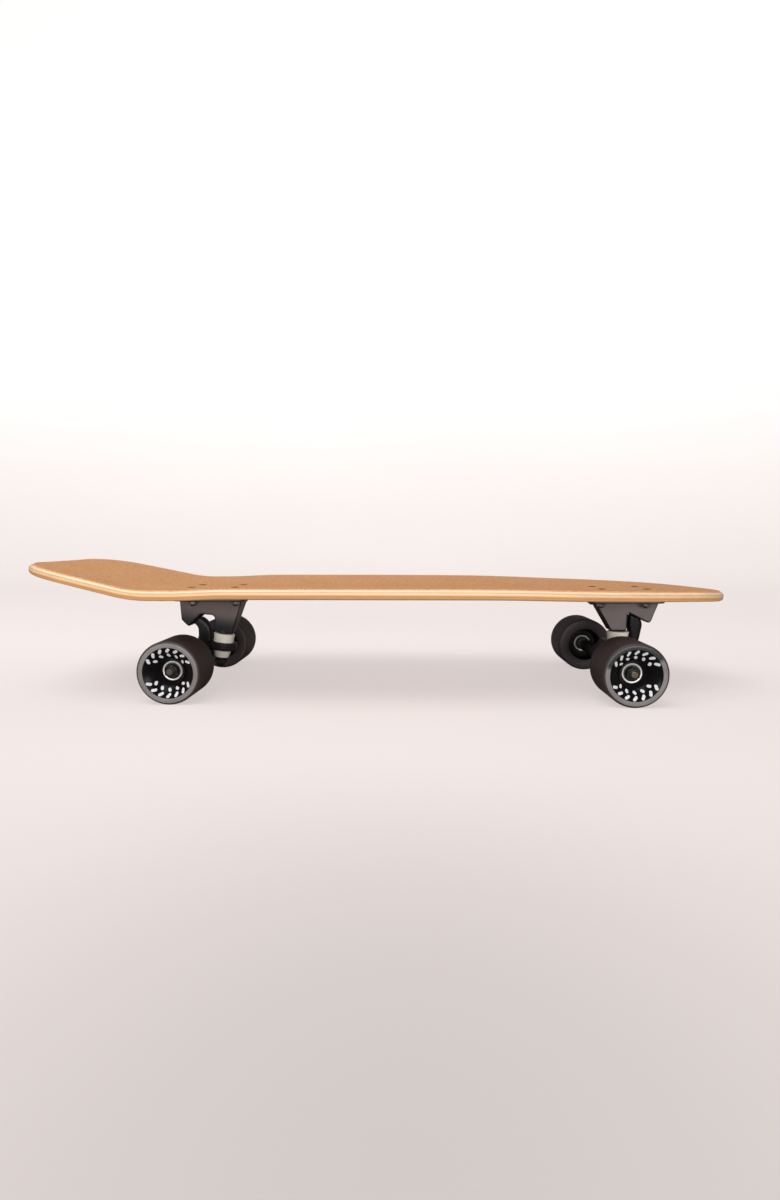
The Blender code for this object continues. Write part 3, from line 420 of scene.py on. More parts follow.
boltSize = dict(radius=0.0024, headRadius=0.0046, headDepth=0.0026, slotWidth=0.0011, slotEdge=0.0004,
                slotReach=0.0027, slotDepth=0.0015, rimRound=0.0003, pitch=0.0008, threadDepth=0.0004,
                spacingX=0.0538, spacingY=0.0413, nutFlats=0.0095, nutHeight=0.0045, stickOut=0.0012,
                clearance=0.0004, smooth=0.006, collar=0.0014, flangeHole=0.0028)
boltPlaces = [(f"{truck}_{end}_{side}", truck,
               (truckSize[truck]["mountX"] + toNose * boltSize["spacingX"] / 2, toLeft * boltSize["spacingY"] / 2))
              for truck in ("rear", "front")
              for end, toNose in (("tail", -1), ("nose", 1))
              for side, toLeft in (("right", -1), ("left", 1))]


# Finishes. Small helpers: link a socket or set its value, add a node, add a step of arithmetic.
def plug(tree, socket, value):
    if isinstance(value, bpy.types.NodeSocket):
        tree.links.new(value, socket)
    else:
        socket.default_value = (*value, 1.0) if socket.type == "RGBA" else value


def addNode(tree, kind, inputs=None, **settings):
    item = tree.nodes.new(kind)
    for key, value in settings.items():
        setattr(item, key, value)
    for key, value in (inputs or {}).items():
        plug(tree, item.inputs[key], value)
    return item


def calc(tree, operation, *values):
    return addNode(tree, "ShaderNodeMath", dict(enumerate(values)), operation=operation).outputs[0]


def noiseAt(tree, place, scale, detail, **inputs):
    inputs = {"Vector": place, "Scale": scale, "Detail": detail, **inputs}
    return addNode(tree, "ShaderNodeTexNoise", inputs).outputs["Fac"]


def mixColour(tree, share, first, second):
    return addNode(tree, "ShaderNodeMix", {0: share, 6: first, 7: second}, data_type="RGBA").outputs[2]


def softStep(tree, value, low, high):
    return addNode(tree, "ShaderNodeMapRange", {"Value": value, "From Min": low, "From Max": high},
                   interpolation_type="SMOOTHSTEP").outputs[0]


def shapeMap(tree):
    return addNode(tree, "ShaderNodeUVMap", uv_map="shapeMap").outputs[0]


# A node group with named sockets. An input without a value is a vector, and one with three values is a colour.
def newGroup(name, inputs, outputs):
    group = bpy.data.node_groups.new(name, "ShaderNodeTree")
    for label, value in inputs.items():
        kind = "Vector" if value is None else "Color" if isinstance(value, tuple) else "Float"
        socket = group.interface.new_socket(label, in_out="INPUT", socket_type="NodeSocket" + kind)
        if value is not None:
            socket.default_value = (*value, 1.0) if kind == "Color" else value
    for label in outputs:
        kind = "Color" if label == "Colour" else "Float"
        group.interface.new_socket(label, in_out="OUTPUT", socket_type="NodeSocket" + kind)
    return group, addNode(group, "NodeGroupInput").outputs, addNode(group, "NodeGroupOutput").inputs


# Fine grain: one noise gives a tone that swings about 1, a roughness and a height
def makeGrainGroup():
    group, given, made = newGroup("fineGrain", {"Place": None, "Scale": 900.0, "Tone Swing": 0.1, "Roughness": 0.5,
                                                "Roughness Swing": 0.1}, ["Tone", "Roughness", "Height"])
    noise = noiseAt(group, given["Place"], given["Scale"], 4.0)
    swing = calc(group, "MULTIPLY", calc(group, "SUBTRACT", noise, 0.5), 2.0)
    plug(group, made["Tone"], calc(group, "MULTIPLY_ADD", swing, given["Tone Swing"], 1.0))
    plug(group, made["Roughness"], calc(group, "MULTIPLY_ADD", swing, given["Roughness Swing"], given["Roughness"]))
    plug(group, made["Height"], noise)
    return group


# Soft mottle: slow cloudy change between two colours
def makeMottleGroup():
    group, given, made = newGroup("softMottle", {"Place": None, "Scale": 20.0, "Dark": (0, 0, 0), "Light": (1, 1, 1),
                                                 "Tone": 1.0}, ["Colour"])
    share = softStep(group, noiseAt(group, given["Place"], given["Scale"], 3.0), 0.3, 0.7)
    mixed = mixColour(group, share, given["Dark"], given["Light"])
    toned = addNode(group, "ShaderNodeVectorMath", {0: mixed, "Scale": given["Tone"]}, operation="SCALE")
    plug(group, made["Colour"], toned.outputs[0])
    return group


# Turned or ground lines: noise that changes only with the radius in the piece's own map
def makeTurnedLineGroup():
    group, given, made = newGroup("turnedLines", {"Map": None, "Scale": 4000.0, "Swing": 0.1}, ["Tone", "Height"])
    turn, radius, flat = addNode(group, "ShaderNodeSeparateXYZ", {0: given["Map"]}).outputs
    around = calc(group, "MULTIPLY", calc(group, "SINE", calc(group, "MULTIPLY", turn, tau)), 0.0005)
    place = addNode(group, "ShaderNodeCombineXYZ", {"X": radius, "Y": around}).outputs[0]
    noise = noiseAt(group, place, given["Scale"], 2.0)
    swing = calc(group, "MULTIPLY", calc(group, "SUBTRACT", noise, 0.5), 2.0)
    plug(group, made["Tone"], calc(group, "MULTIPLY_ADD", swing, given["Swing"], 1.0))
    plug(group, made["Height"], noise)
    return group


# A ring of marks: the turn is cut in equal cells, and each cell holds one bar with round ends, turned by a lean.
# A cell is left out where its middle lies in one of the two bare sectors.
def makeMarkGroup():
    group, given, made = newGroup("ringOfMarks", {"Map": None, "Radius": 0.02, "Count": 20.0, "Reach": 0.0012,
                                                  "Width": 0.0005, "Lean": 0.0, "Sector": 0.385, "Edge": 0.00012},
                                  ["Mask"])

    def step(operation, *values):
        return calc(group, operation, *values)

    around, radius, flat = addNode(group, "ShaderNodeSeparateXYZ", {0: given["Map"]}).outputs
    outward = step("SUBTRACT", radius, given["Radius"])
    turn = step("MULTIPLY", around, given["Count"])
    cell = step("SUBTRACT", step("FRACT", turn), 0.5)
    across = step("MULTIPLY", step("MULTIPLY", cell, step("DIVIDE", tau, given["Count"])), given["Radius"])
    cosine, sine = step("COSINE", given["Lean"]), step("SINE", given["Lean"])
    wide = step("MULTIPLY_ADD", across, cosine, step("MULTIPLY", outward, sine))
    long = step("SUBTRACT", step("MULTIPLY", outward, cosine), step("MULTIPLY", across, sine))
    past = step("MAXIMUM", step("SUBTRACT", step("ABSOLUTE", long), given["Reach"]), 0.0)
    distance = step("SQRT", step("ADD", step("MULTIPLY", wide, wide), step("MULTIPLY", past, past)))
    mark = addNode(group, "ShaderNodeMapRange", {"Value": step("SUBTRACT", given["Width"], distance),
                                                 "From Min": step("MULTIPLY", given["Edge"], -0.5),
                                                 "From Max": step("MULTIPLY", given["Edge"], 0.5)}).outputs[0]
    middle = step("DIVIDE", step("ADD", step("FLOOR", turn), 0.5), given["Count"])
    sector = step("ABSOLUTE", step("SUBTRACT", step("FRACT", step("MULTIPLY", middle, 2.0)), 0.5))
    plug(group, made["Mask"], step("MULTIPLY", mark, step("LESS_THAN", sector, given["Sector"])))
    return group


grainGroup, mottleGroup = makeGrainGroup(), makeMottleGroup()
lineGroup, markGroup = makeTurnedLineGroup(), makeMarkGroup()


def useGroup(tree, group, **inputs):
    inputs = {key.replace("_", " "): value for key, value in inputs.items()}
    return addNode(tree, "ShaderNodeGroup", inputs, node_tree=group).outputs


# An empty material, its tree, its shader and the place that patterns read
def startFinish(name, **plain):
    material = bpy.data.materials.new(name)
    material.use_nodes = True
    tree = material.node_tree
    shader = tree.nodes["Principled BSDF"]
    feed(tree, shader, **plain)
    return material, tree, shader, addNode(tree, "ShaderNodeTexCoord").outputs["Object"]


def feed(tree, shader, **inputs):
    for key, value in inputs.items():
        plug(tree, shader.inputs[key.replace("_", " ")], value)


def bump(tree, height, distance, strength=1.0):
    return addNode(tree, "ShaderNodeBump", {"Height": height, "Distance": distance, "Strength": strength}).outputs[0]


# A plain moulded, coated or plated surface: mottled colour, fine grain in tone and roughness, slight bump
def coatedFinish(name, dark, light, roughness, grain=900.0, mottle=25.0, tone=0.1, roughSwing=0.1, depth=0.00002,
                 **plain):
    material, tree, shader, place = startFinish(name, **plain)
    fine = useGroup(tree, grainGroup, Place=place, Scale=grain, Tone_Swing=tone, Roughness=roughness,
                    Roughness_Swing=roughSwing)
    cloud = useGroup(tree, mottleGroup, Place=place, Scale=mottle, Dark=dark, Light=light, Tone=fine["Tone"])
    feed(tree, shader, Base_Color=cloud["Colour"], Roughness=fine["Roughness"],
         Normal=bump(tree, fine["Height"], depth))
    return material


# One black casting for both hangers, in a painted-light copy for the rear (lighter) and a painted-shade copy for the
# front (darker)
hangerFinishes = {
    "rear": coatedFinish("hangerPaintedLight", (0.016, 0.0135, 0.0125), (0.023, 0.0195, 0.018), 0.3, 1300, 30, 0.12,
                         0.08, 0.00004, Specular_IOR_Level=0.15),
    "front": coatedFinish("hangerPaintedShade", (0.0055, 0.0048, 0.0045), (0.0085, 0.0072, 0.0068), 0.3, 1300, 30,
                          0.12, 0.08, 0.00004, Specular_IOR_Level=0.15)}
bushingFinish = coatedFinish("creamUrethane", (0.94, 0.88, 0.765), (0.97, 0.91, 0.8), 0.42, 700, 60,
                             0.03, 0.06, 0.00002)
cupFinish = coatedFinish("cupUrethane", (0.018, 0.018, 0.018), (0.024, 0.023, 0.023), 0.5)
zincFinish = coatedFinish("zincSteel", (0.2, 0.19, 0.18), (0.31, 0.3, 0.285), 0.22, 1600, 120, 0.08,
                          0.08, 0.00001, Metallic=1.0)
axleFinish = coatedFinish("axleSteel", (0.105, 0.081, 0.062), (0.165, 0.128, 0.098), 0.34, 1600, 140, 0.08,
                          0.08, 0.00001, Metallic=1.0)
axleNutFinish = coatedFinish("bronzedSteel", (0.022, 0.018, 0.014), (0.036, 0.029, 0.023), 0.34, 1600, 140,
                             0.08, 0.08, 0.00001, Metallic=0.5)
oxideFinish = coatedFinish("blackSteel", (0.016, 0.015, 0.015), (0.024, 0.023, 0.022), 0.36, 1500, 120,
                           0.1, 0.08, 0.00001, Metallic=0.4)
hubFinish = coatedFinish("hubPlastic", (0.006, 0.0055, 0.0055), (0.009, 0.008, 0.008), 0.4, 900, 60,
                         Specular_IOR_Level=0.15)
treadFinish = coatedFinish("treadUrethane", (0.034, 0.023, 0.022), (0.042, 0.029, 0.028), 0.55, 2200,
                           45, 0.16, 0.08, 0.00006)
# Painted shade: the wheel's recesses get a near-black copy of the urethane, far darker than its tread
recessShadeFinish = coatedFinish("recessPaintedShade", (0.005, 0.0045, 0.0045), (0.008, 0.007, 0.007), 0.42,
                            Specular_IOR_Level=0.12)


# Satin grey coat of the baseplates, with painted light and shade from a vertex attribute: grey on the broad side walls,
# painted near-black shade on rounded edges
def plateCoatAndShade():
    material, tree, shader, place = startFinish("castGrey")
    fine = useGroup(tree, grainGroup, Place=place, Scale=1300.0, Tone_Swing=0.1, Roughness=0.44, Roughness_Swing=0.08)
    cloud = useGroup(tree, mottleGroup, Place=place, Scale=30.0, Dark=(0.132, 0.103, 0.095),
                     Light=(0.16, 0.126, 0.116), Tone=fine["Tone"])
    flat = addNode(tree, "ShaderNodeAttribute", attribute_name="paintedWallLight").outputs["Fac"]
    # painted shade: the coat goes near black where the vertex attribute is low
    broad = softStep(tree, flat, 0.8, 0.985)
    feed(tree, shader, Base_Color=mixColour(tree, broad, (0.008, 0.007, 0.007), cloud["Colour"]),
         Roughness=fine["Roughness"], Normal=bump(tree, fine["Height"], 0.00004))
    return material


# Ground lip: grey satin urethane with turned lines. Where a reach is given, one stretch of the turn gets a painted
# shadow of the deck, near black: share = a soft step of the distance, in turns, from the middle of that stretch.
def groundFinish(name, middle=0.0, reach=0.0):
    material, tree, shader, place = startFinish(name)
    uv = shapeMap(tree)
    lines = useGroup(tree, lineGroup, Map=uv, Scale=5000.0, Swing=0.18)
    cloud = useGroup(tree, mottleGroup, Place=place, Scale=60.0, Dark=(0.178, 0.161, 0.153),
                     Light=(0.228, 0.208, 0.198), Tone=lines["Tone"])
    tint, rough = cloud["Colour"], calc(tree, "MULTIPLY_ADD", lines["Tone"], 0.1, 0.3)
    if reach:
        around = addNode(tree, "ShaderNodeSeparateXYZ", {0: uv}).outputs[0]
        turned = calc(tree, "FRACT", calc(tree, "SUBTRACT", around, middle - 0.5))
        away = calc(tree, "ABSOLUTE", calc(tree, "SUBTRACT", turned, 0.5))
        dark = softStep(tree, away, reach + 0.015, reach - 0.015)
        # painted shadow: near black and a little glossier over that stretch
        tint = mixColour(tree, dark, tint, (0.012, 0.01, 0.01))
        rough = calc(tree, "MULTIPLY_ADD", dark, -0.12, rough)
    feed(tree, shader, Base_Color=tint, Roughness=rough, Normal=bump(tree, lines["Height"], 0.00002))
    return material


# Printed face: glossy black with a generic print of leaning bars round a ring of dots, bare over two sectors
printRings = [
    dict(Radius=0.0248, Count=18.0, Reach=0.0015, Width=0.0015, Lean=0.75),
    dict(Radius=0.0191, Count=14.0, Reach=0.0006, Width=0.0015, Lean=-0.75),
]


def printedFinish():
    material, tree, shader, place = startFinish("printedUrethane", Specular_IOR_Level=0.09)
    uv = shapeMap(tree)
    mask = 0.0
    for ring in printRings:
        mask = calc(tree, "MAXIMUM", mask, useGroup(tree, markGroup, Map=uv, **ring)["Mask"])
    cloud = useGroup(tree, mottleGroup, Place=place, Scale=80.0, Dark=(0.0035, 0.003, 0.003),
                     Light=(0.0055, 0.005, 0.005), Tone=1.0)
    white = useGroup(tree, mottleGroup, Place=place, Scale=900.0, Dark=(0.62, 0.62, 0.65),
                     Light=(0.78, 0.78, 0.81), Tone=1.0)
    feed(tree, shader, Base_Color=mixColour(tree, mask, cloud["Colour"], white["Colour"]),
         Roughness=calc(tree, "MULTIPLY_ADD", mask, 0.25, 0.2), Normal=bump(tree, mask, 0.00003))
    return material


# Bearing: a bright ground race round a dark shield, both with turned lines
def turnedMetalFinish(name, dark, light, swing, **plain):
    material, tree, shader, place = startFinish(name, **plain)
    uv = shapeMap(tree)
    lines = useGroup(tree, lineGroup, Map=uv, Scale=9000.0, Swing=swing)
    cloud = useGroup(tree, mottleGroup, Place=place, Scale=150.0, Dark=dark, Light=light, Tone=lines["Tone"])
    feed(tree, shader, Base_Color=cloud["Colour"], Normal=bump(tree, lines["Height"], 0.000008))
    return material


castCoatAndShade, printedFace = plateCoatAndShade(), printedFinish()
# The front wheels' lips carry the painted deck shadow
groundLips = {"rear": groundFinish("groundUrethane"),
              "front": groundFinish("lipUrethaneDeckShadow", 0.275, 0.185)}
raceFinish = turnedMetalFinish("bearingRace", (0.62, 0.6, 0.585), (0.72, 0.7, 0.685), 0.08, Roughness=0.36,
                               Metallic=0.45)
shieldFinish = turnedMetalFinish("bearingShield", (0.012, 0.011, 0.0105), (0.02, 0.0185, 0.0175), 0.1, Roughness=0.4,
                                 Metallic=0.3)

# Plies from the underside up, as shares of the wood's thickness, with their colours
plyBands = [(0.00, (0.8, 0.45, 0.21)), (0.18, (0.86, 0.5, 0.24)), (0.25, (0.72, 0.31, 0.095)),
            (0.4, (0.76, 0.34, 0.11)), (0.47, (0.86, 0.58, 0.34)), (0.62, (0.88, 0.61, 0.37)),
            (0.67, (0.7, 0.42, 0.21)), (0.74, (0.72, 0.44, 0.22)), (0.81, (0.9, 0.66, 0.43)),
            (1.00, (0.92, 0.69, 0.46))]


def plyFinish():
    material, tree, shader, place = startFinish("maplePly", Coat_Weight=0.35, Coat_Roughness=0.18)
    uv = shapeMap(tree)
    lift = calc(tree, "DIVIDE", addNode(tree, "ShaderNodeSeparateXYZ", {0: uv}).outputs[1], board["wood"])
    wander = noiseAt(tree, place, 14.0, 1.0)
    lift = calc(tree, "ADD", lift, calc(tree, "MULTIPLY", calc(tree, "SUBTRACT", wander, 0.5), 0.05))
    ramp = addNode(tree, "ShaderNodeValToRGB", {"Fac": lift})
    elements = ramp.color_ramp.elements
    elements[0].color, elements[1].color = (*plyBands[0][1], 1), (*plyBands[-1][1], 1)
    for position, tint in plyBands[1:-1]:
        elements.new(position).color = (*tint, 1)
    stretched = addNode(tree, "ShaderNodeMapping", {"Vector": place, "Scale": (6.0, 160.0, 160.0)})
    grain = noiseAt(tree, stretched.outputs[0], 1.0, 5.0, Distortion=0.6)
    pores = addNode(tree, "ShaderNodeMapping", {"Vector": place, "Scale": (60.0, 1800.0, 1800.0)})
    fleck = noiseAt(tree, pores.outputs[0], 1.0, 2.0)
    tone = calc(tree, "MULTIPLY_ADD", calc(tree, "SUBTRACT", grain, 0.5), 0.34, 1.0)
    tone = calc(tree, "MULTIPLY_ADD", calc(tree, "SUBTRACT", fleck, 0.5), 0.22, tone)
    shaded = addNode(tree, "ShaderNodeVectorMath", {0: ramp.outputs[0], "Scale": tone}, operation="SCALE")
    rough = calc(tree, "MULTIPLY_ADD", grain, 0.16, 0.38)
    feed(tree, shader, Base_Color=shaded.outputs[0], Roughness=rough, Normal=bump(tree, grain, 0.00004))
    return material


# Grit sheet: two sizes of speckle over a slow mottle, with a bump from the grit itself
def gripFinish():
    material, tree, shader, place = startFinish("tanGrit", Roughness=0.9)
    grit = addNode(tree, "ShaderNodeTexVoronoi", {"Vector": place, "Scale": 1500.0})
    speck = softStep(tree, noiseAt(tree, place, 300.0, 4.0), 0.4, 0.66)
    fine = useGroup(tree, grainGroup, Place=place, Scale=2600.0, Tone_Swing=0.22, Roughness=0.85, Roughness_Swing=0.1)
    cloud = useGroup(tree, mottleGroup, Place=place, Scale=16.0, Dark=(0.71, 0.362, 0.166),
                     Light=(0.76, 0.39, 0.18), Tone=fine["Tone"])
    mixed = mixColour(tree, calc(tree, "MULTIPLY", speck, 0.55), cloud["Colour"], (0.5, 0.22, 0.09))
    feed(tree, shader, Base_Color=mixed, Roughness=fine["Roughness"],
         Normal=bump(tree, grit.outputs["Distance"], 0.00015, 0.6))
    return material


woodFinish, gritFinish = plyFinish(), gripFinish()
print("finishes ready:", len(bpy.data.materials))


# Deck and grip sheet, drilled for the bolts
def drillMesh(truck, x, y):
    low = truckTop(truck) - 0.002
    top = truckTop(truck) + board["wood"] + board["grip"] + 2 * air
    hole, head = boltSize["radius"] + boltSize["clearance"], boltSize["headRadius"] + boltSize["clearance"]
    profile = [(0, low), (hole, low), (hole, top - air - boltSize["headDepth"]), (head, top - air),
               (head, top + 0.004), (0, top + 0.004)]
    return turnedMesh(profile, 40, (x, y, 0), (0, 0, 1))


drills = [drillMesh(truck, x, y) for place, truck, (x, y) in boltPlaces]
woodMesh = sheetMesh(roundRim(board["wood"], board["edge"]), 0.0, board["wood"])
gripLow = board["wood"] + air
gripTop = gripLow + board["grip"]
gripRim = [(board["edge"], board["wood"] + 0.00003), (board["edge"], gripTop - 0.0003),
           (board["edge"] + 0.0003, gripTop)]
gripMesh = sheetMesh(gripRim, gripLow, gripTop)
dress("deckWood", cutHoles(addPiece("blank", woodMesh), drills), [woodFinish], "board", "deck")
dress("gritSheet", cutHoles(addPiece("blank", gripMesh), drills), [gritFinish], "board", "grip_sheet")
print("deck ready")

# Mounting bolts and lock nuts
for place, truck, (x, y) in boltPlaces:
    top = truckTop(truck) + board["wood"] + board["grip"] + 3 * air
    nutTop = truckTop(truck) - flangeSize["thickness"] - air
    end = nutTop - boltSize["nutHeight"] - boltSize["stickOut"]
    dress(place + "Bolt", crossBoltMesh(top, end, (x, y, 0)), [oxideFinish], "board", place + "_bolt")
    nut = nutMesh(boltSize["nutFlats"], boltSize["nutHeight"], boltSize["radius"] + air, (x, y, nutTop), (0, 0, -1),
                  boltSize["collar"])
    dress(place + "Nut", nut, [zincFinish], "board", place + "_nut")
print("mounting hardware ready")


# A truck's side view is (inboard, up), and its depth is sideways. This sets such points in the world.
def truckPoint(truck, inboard, sideways, up):
    size = truckSize[truck]
    inboard, sideways, up = np.broadcast_arrays(inboard, sideways, up)
    return np.stack([size["mountX"] + size["inboard"] * inboard, size["inboard"] * sideways, up], axis=-1)


def truckDirection(truck, inboard, up):
    return np.array([truckSize[truck]["inboard"] * inboard, 0.0, up])


def steerLine(truck):
    angle = truckSize[truck]["steer"]
    return np.array([-cos(angle), sin(angle)])


def pinLine(truck):
    return np.array([sin(truckSize[truck]["tilt"]), cos(truckSize[truck]["tilt"])])


def ringCentre(truck):
    return np.array([truckSize[truck]["ring"], wheelSize["radius"] + truckSize[truck]["above"]])


def pivotFace(truck):
    return ringCentre(truck) + steerLine(truck) * truckSize[truck]["reach"]


# The baseplate body's side outline: outboard wall, claw, pivot face, notch, roof and leg, as on the solid
def bodyOutline(truck, turn):
    size = truckSize[truck]
    face, steer, pin = pivotFace(truck), steerLine(truck), pinLine(truck)
    down = np.array([-steer[1], steer[0]])
    tip = face + down * size["faceDrop"]
    heel = np.array([-size["heelOut"], tip[1] + size["heelRise"]])
    across = np.array([pin[1], -pin[0]])
    seat = ringCentre(truck) + pin * (legSeat + seatSize["height"])
    legOut, legIn = seat - across * size["legOut"], seat + across * size["legIn"]
    roof = legOut + pin * size["roofHeight"]
    notchX = roof[0] - size["roofLength"]
    notch = face + down * (notchX - face[0]) / down[0]
    top = truckTop(truck) - flangeSize["thickness"] / 2
    corners = [(-size["wallOut"], top), heel, tip, notch]
    rounds = [0, turn, turn, turn]
    if size["roofLength"] > 0:
        corners.append(roof)
        rounds.append(0.0045)
    corners += [legOut, legIn, (size["legTop"], top)]
    rounds += [turn, turn, 0]
    return roundLine(corners, rounds, 5)


# The outline swept across the truck. Each side is a quarter round, and both sides draw in towards the floor.
def bodyMesh(truck, edge, turn):
    outline, size = bodyOutline(truck, turn), truckSize[truck]
    angles = np.linspace(0, pi / 2, 5)
    loops = []
    for side, order in ((-1, angles), (1, angles[::-1])):
        for angle in order:
            line = insetLine(outline, edge * (1 - sin(angle)))
            width = size["halfWidth"] - size["draft"] * (truckTop(truck) - line[:, 1]) - edge * (1 - cos(angle))
            loops.append(truckPoint(truck, line[:, 0], side * width, line[:, 1]))
    return loopMesh(loops)


def flangeMesh(truck):
    x, y = flangeSize["length"] / 2, flangeSize["width"] / 2
    plan = roundLine([(-x, -y), (x, -y), (x, y), (-x, y)], flangeSize["corner"], 8) - [truckSize[truck]["flangeOut"], 0]
    edge, top = flangeSize["edge"], truckTop(truck)
    low = top - flangeSize["thickness"]
    steps = [(edge, low), (edge * 0.3, low + edge * 0.3), (0, low + edge), (0, top - 0.0003), (0.0003, top)]
    return loopMesh([truckPoint(truck, *insetLine(plan, inset).T, z) for inset, z in steps])


def worldPoint(truck, point):
    return truckPoint(truck, point[0], 0.0, point[1])


# Middle and direction of the kingpin at the ring, of the pivot at its face, and the axle's middle
def pinFrame(truck):
    return worldPoint(truck, ringCentre(truck)), truckDirection(truck, *pinLine(truck))


def pivotFrame(truck):
    return worldPoint(truck, pivotFace(truck)), truckDirection(truck, *steerLine(truck))


def axleMiddle(truck):
    return worldPoint(truck, (truckSize[truck]["axle"], wheelSize["radius"]))


pivotSize = dict(depth=0.012, pin=0.0048, cupWall=0.0026, cupFloor=0.0025, faceGap=0.0012, reach=0.008, root=0.0032)
cupRadius = pivotSize["pin"] + air + pivotSize["cupWall"]


def baseplateMesh(truck):
    radius, seatTop = seatSize["radius"], legSeat + seatSize["height"] + seatSize["root"]
    seat = turnedMesh([(0, legSeat), (radius - 0.0004, legSeat), (radius, legSeat + 0.0004), (radius, seatTop),
                       (0, seatTop)], 56, *pinFrame(truck))
    floor, hole = legSeat + kingpinSize["grip"], kingpinSize["radius"] + kingpinSize["holeRoom"]
    wellRadius, wellTop = kingpinSize["headFlats"] / sqrt(3) + kingpinSize["wellRoom"], floor + 0.05
    well = turnedMesh([(0, 0), (hole, 0), (hole, floor), (wellRadius, floor), (wellRadius, wellTop), (0, wellTop)], 48,
                      *pinFrame(truck))
    socketRadius, socketDepth = cupRadius + air, pivotSize["depth"]
    socket = turnedMesh([(0, -0.004), (socketRadius, -0.004), (socketRadius, socketDepth), (0, socketDepth)], 40,
                        *pivotFrame(truck))
    low, high, drill = truckTop(truck) - 0.012, truckTop(truck) + 0.006, boltSize["flangeHole"]
    drills = [turnedMesh([(0, low), (drill, low), (drill, high), (0, high)], 28, (x, y, 0), (0, 0, 1))
              for place, owner, (x, y) in boltPlaces if owner == truck]
    body = bodyMesh(truck, bodySize["edge"], bodySize["turn"])
    return castMesh([flangeMesh(truck), body, seat], [well, socket] + drills, 0.35)


# Painted light and shade of the baseplate coat, for each vertex: high where a broad wall faces sideways (the normal's
# |y|) or, as a painted reflection, along the leg's inboard face; faded towards painted shade over the leg's lowest part
def markPaintedLight(truck, mesh):
    size, count = truckSize[truck], len(mesh.vertices)
    normals, places = np.zeros(count * 3, np.float32), np.zeros(count * 3, np.float32)
    mesh.vertex_normals.foreach_get("vector", normals)
    mesh.vertices.foreach_get("co", places)
    normals = normals.reshape(-1, 3)
    above = (places.reshape(-1, 3) - worldPoint(truck, ringCentre(truck))) @ truckDirection(truck, *pinLine(truck))
    rise = np.clip((above - legSeat - seatSize["height"]) / size["footShadeRun"], 0, 1)
    legFace = truckDirection(truck, size["bodyHeight"], size["legIn"] - size["legTop"])
    # painted reflection: the rear leg's inboard face is painted lighter, as if it caught the backdrop
    legFace = normals @ (legFace / np.linalg.norm(legFace)) * size["legPaintedSheen"]
    mark = mesh.attributes.new("paintedWallLight", "FLOAT", "POINT")
    # painted shade: the leg's lowest part is darkened to 0.74 of the wall's share
    flat = np.maximum(np.abs(normals[:, 1]), legFace) * (0.74 + 0.26 * rise)
    mark.data.foreach_set("value", flat.astype(np.float32))
    return mesh


# A smooth line through given points: cubic between each two, with the slope of the neighbours' chord
def smoothPath(points, steps):
    points = np.asarray(points, float)
    padded = np.concatenate([[2 * points[0] - points[1]], points, [2 * points[-1] - points[-2]]])
    t = np.linspace(0, 1, steps, endpoint=False)[:, None]
    pieces = []
    for a, b, c, d in zip(padded, padded[1:], padded[2:], padded[3:]):
        pieces.append(0.5 * (2 * b + (c - a) * t + (2 * a - 5 * b + 4 * c - d) * t ** 2
                             + (3 * b - a - 3 * c + d) * t ** 3))
    return np.concatenate(pieces + [points[-1:]])


armSize = dict(halfWidth=0.007, overPin=0.0012, steps=7, sides=32)


# The pivot arm: a rounded oblong section carried along a smooth path, its last section square to the pivot face
def armMesh(truck):
    size = truckSize[truck]
    face = pivotFace(truck) - ringCentre(truck)
    end = face - steerLine(truck) * pivotSize["faceGap"]
    path = [(*point, half) for point, half in zip(size["armPath"], size["armThickness"])]
    line = smoothPath(path + [(*end, pivotSize["pin"] + armSize["overPin"])], armSize["steps"])
    tangent = np.gradient(line[:, :2], axis=0)
    tangent[-1] = steerLine(truck)
    tangent /= np.linalg.norm(tangent, axis=1, keepdims=True)
    across = np.stack([tangent[:, 1], -tangent[:, 0]], 1)
    angle = fullTurn(armSize["sides"])[:-1]
    wide = np.sign(np.cos(angle)) * np.abs(np.cos(angle)) ** 0.5
    deep = np.sign(np.sin(angle)) * np.abs(np.sin(angle)) ** 0.5 * armSize["halfWidth"]
    centre = ringCentre(truck)
    loops = []
    for point, side in zip(line, across):
        offset = wide * point[2]
        loops.append(truckPoint(truck, centre[0] + point[0] + side[0] * offset, deep,
                                centre[1] + point[1] + side[1] * offset))
    return loopMesh(loops)


webSize = dict(halfWidth=0.015, endRadius=0.0084)


# The plate between beam and ring: the hull of a beam section and the ring's near side, across the web's width
def webMesh(truck):
    size, half = truckSize[truck], ringSize["thickness"] / 2
    axle = size["axle"] - size["ring"]
    side = copysign(1.0, axle)
    inner = (ringSize["bore"] + ringSize["radius"]) / 2
    angle, end = fullTurn(36)[:-1], webSize["endRadius"]
    line = np.concatenate([[(side * inner, half), (side * inner, -half), (side * ringSize["radius"], half)],
                           np.stack([axle + end * np.cos(angle), end * np.sin(angle) - size["above"]], 1)])
    data = bmesh.new()
    centre = ringCentre(truck)
    for width in (-webSize["halfWidth"], webSize["halfWidth"]):
        for point in truckPoint(truck, centre[0] + line[:, 0], width, centre[1] + line[:, 1]):
            data.verts.new(point)
    hull = bmesh.ops.convex_hull(data, input=data.verts)
    bmesh.ops.delete(data, geom=[v for v in hull["geom_interior"] if isinstance(v, bmesh.types.BMVert)],
                     context="VERTS")
    mesh = bpy.data.meshes.new("web")
    data.to_mesh(mesh)
    data.free()
    return mesh


beamLine = [(0, -0.0862), (0.007, -0.0862), (0.0074, -0.0858), (0.0074, -0.0802), (0.0077, -0.076),
            (0.0086, -0.03), (0.0088, -0.024)]


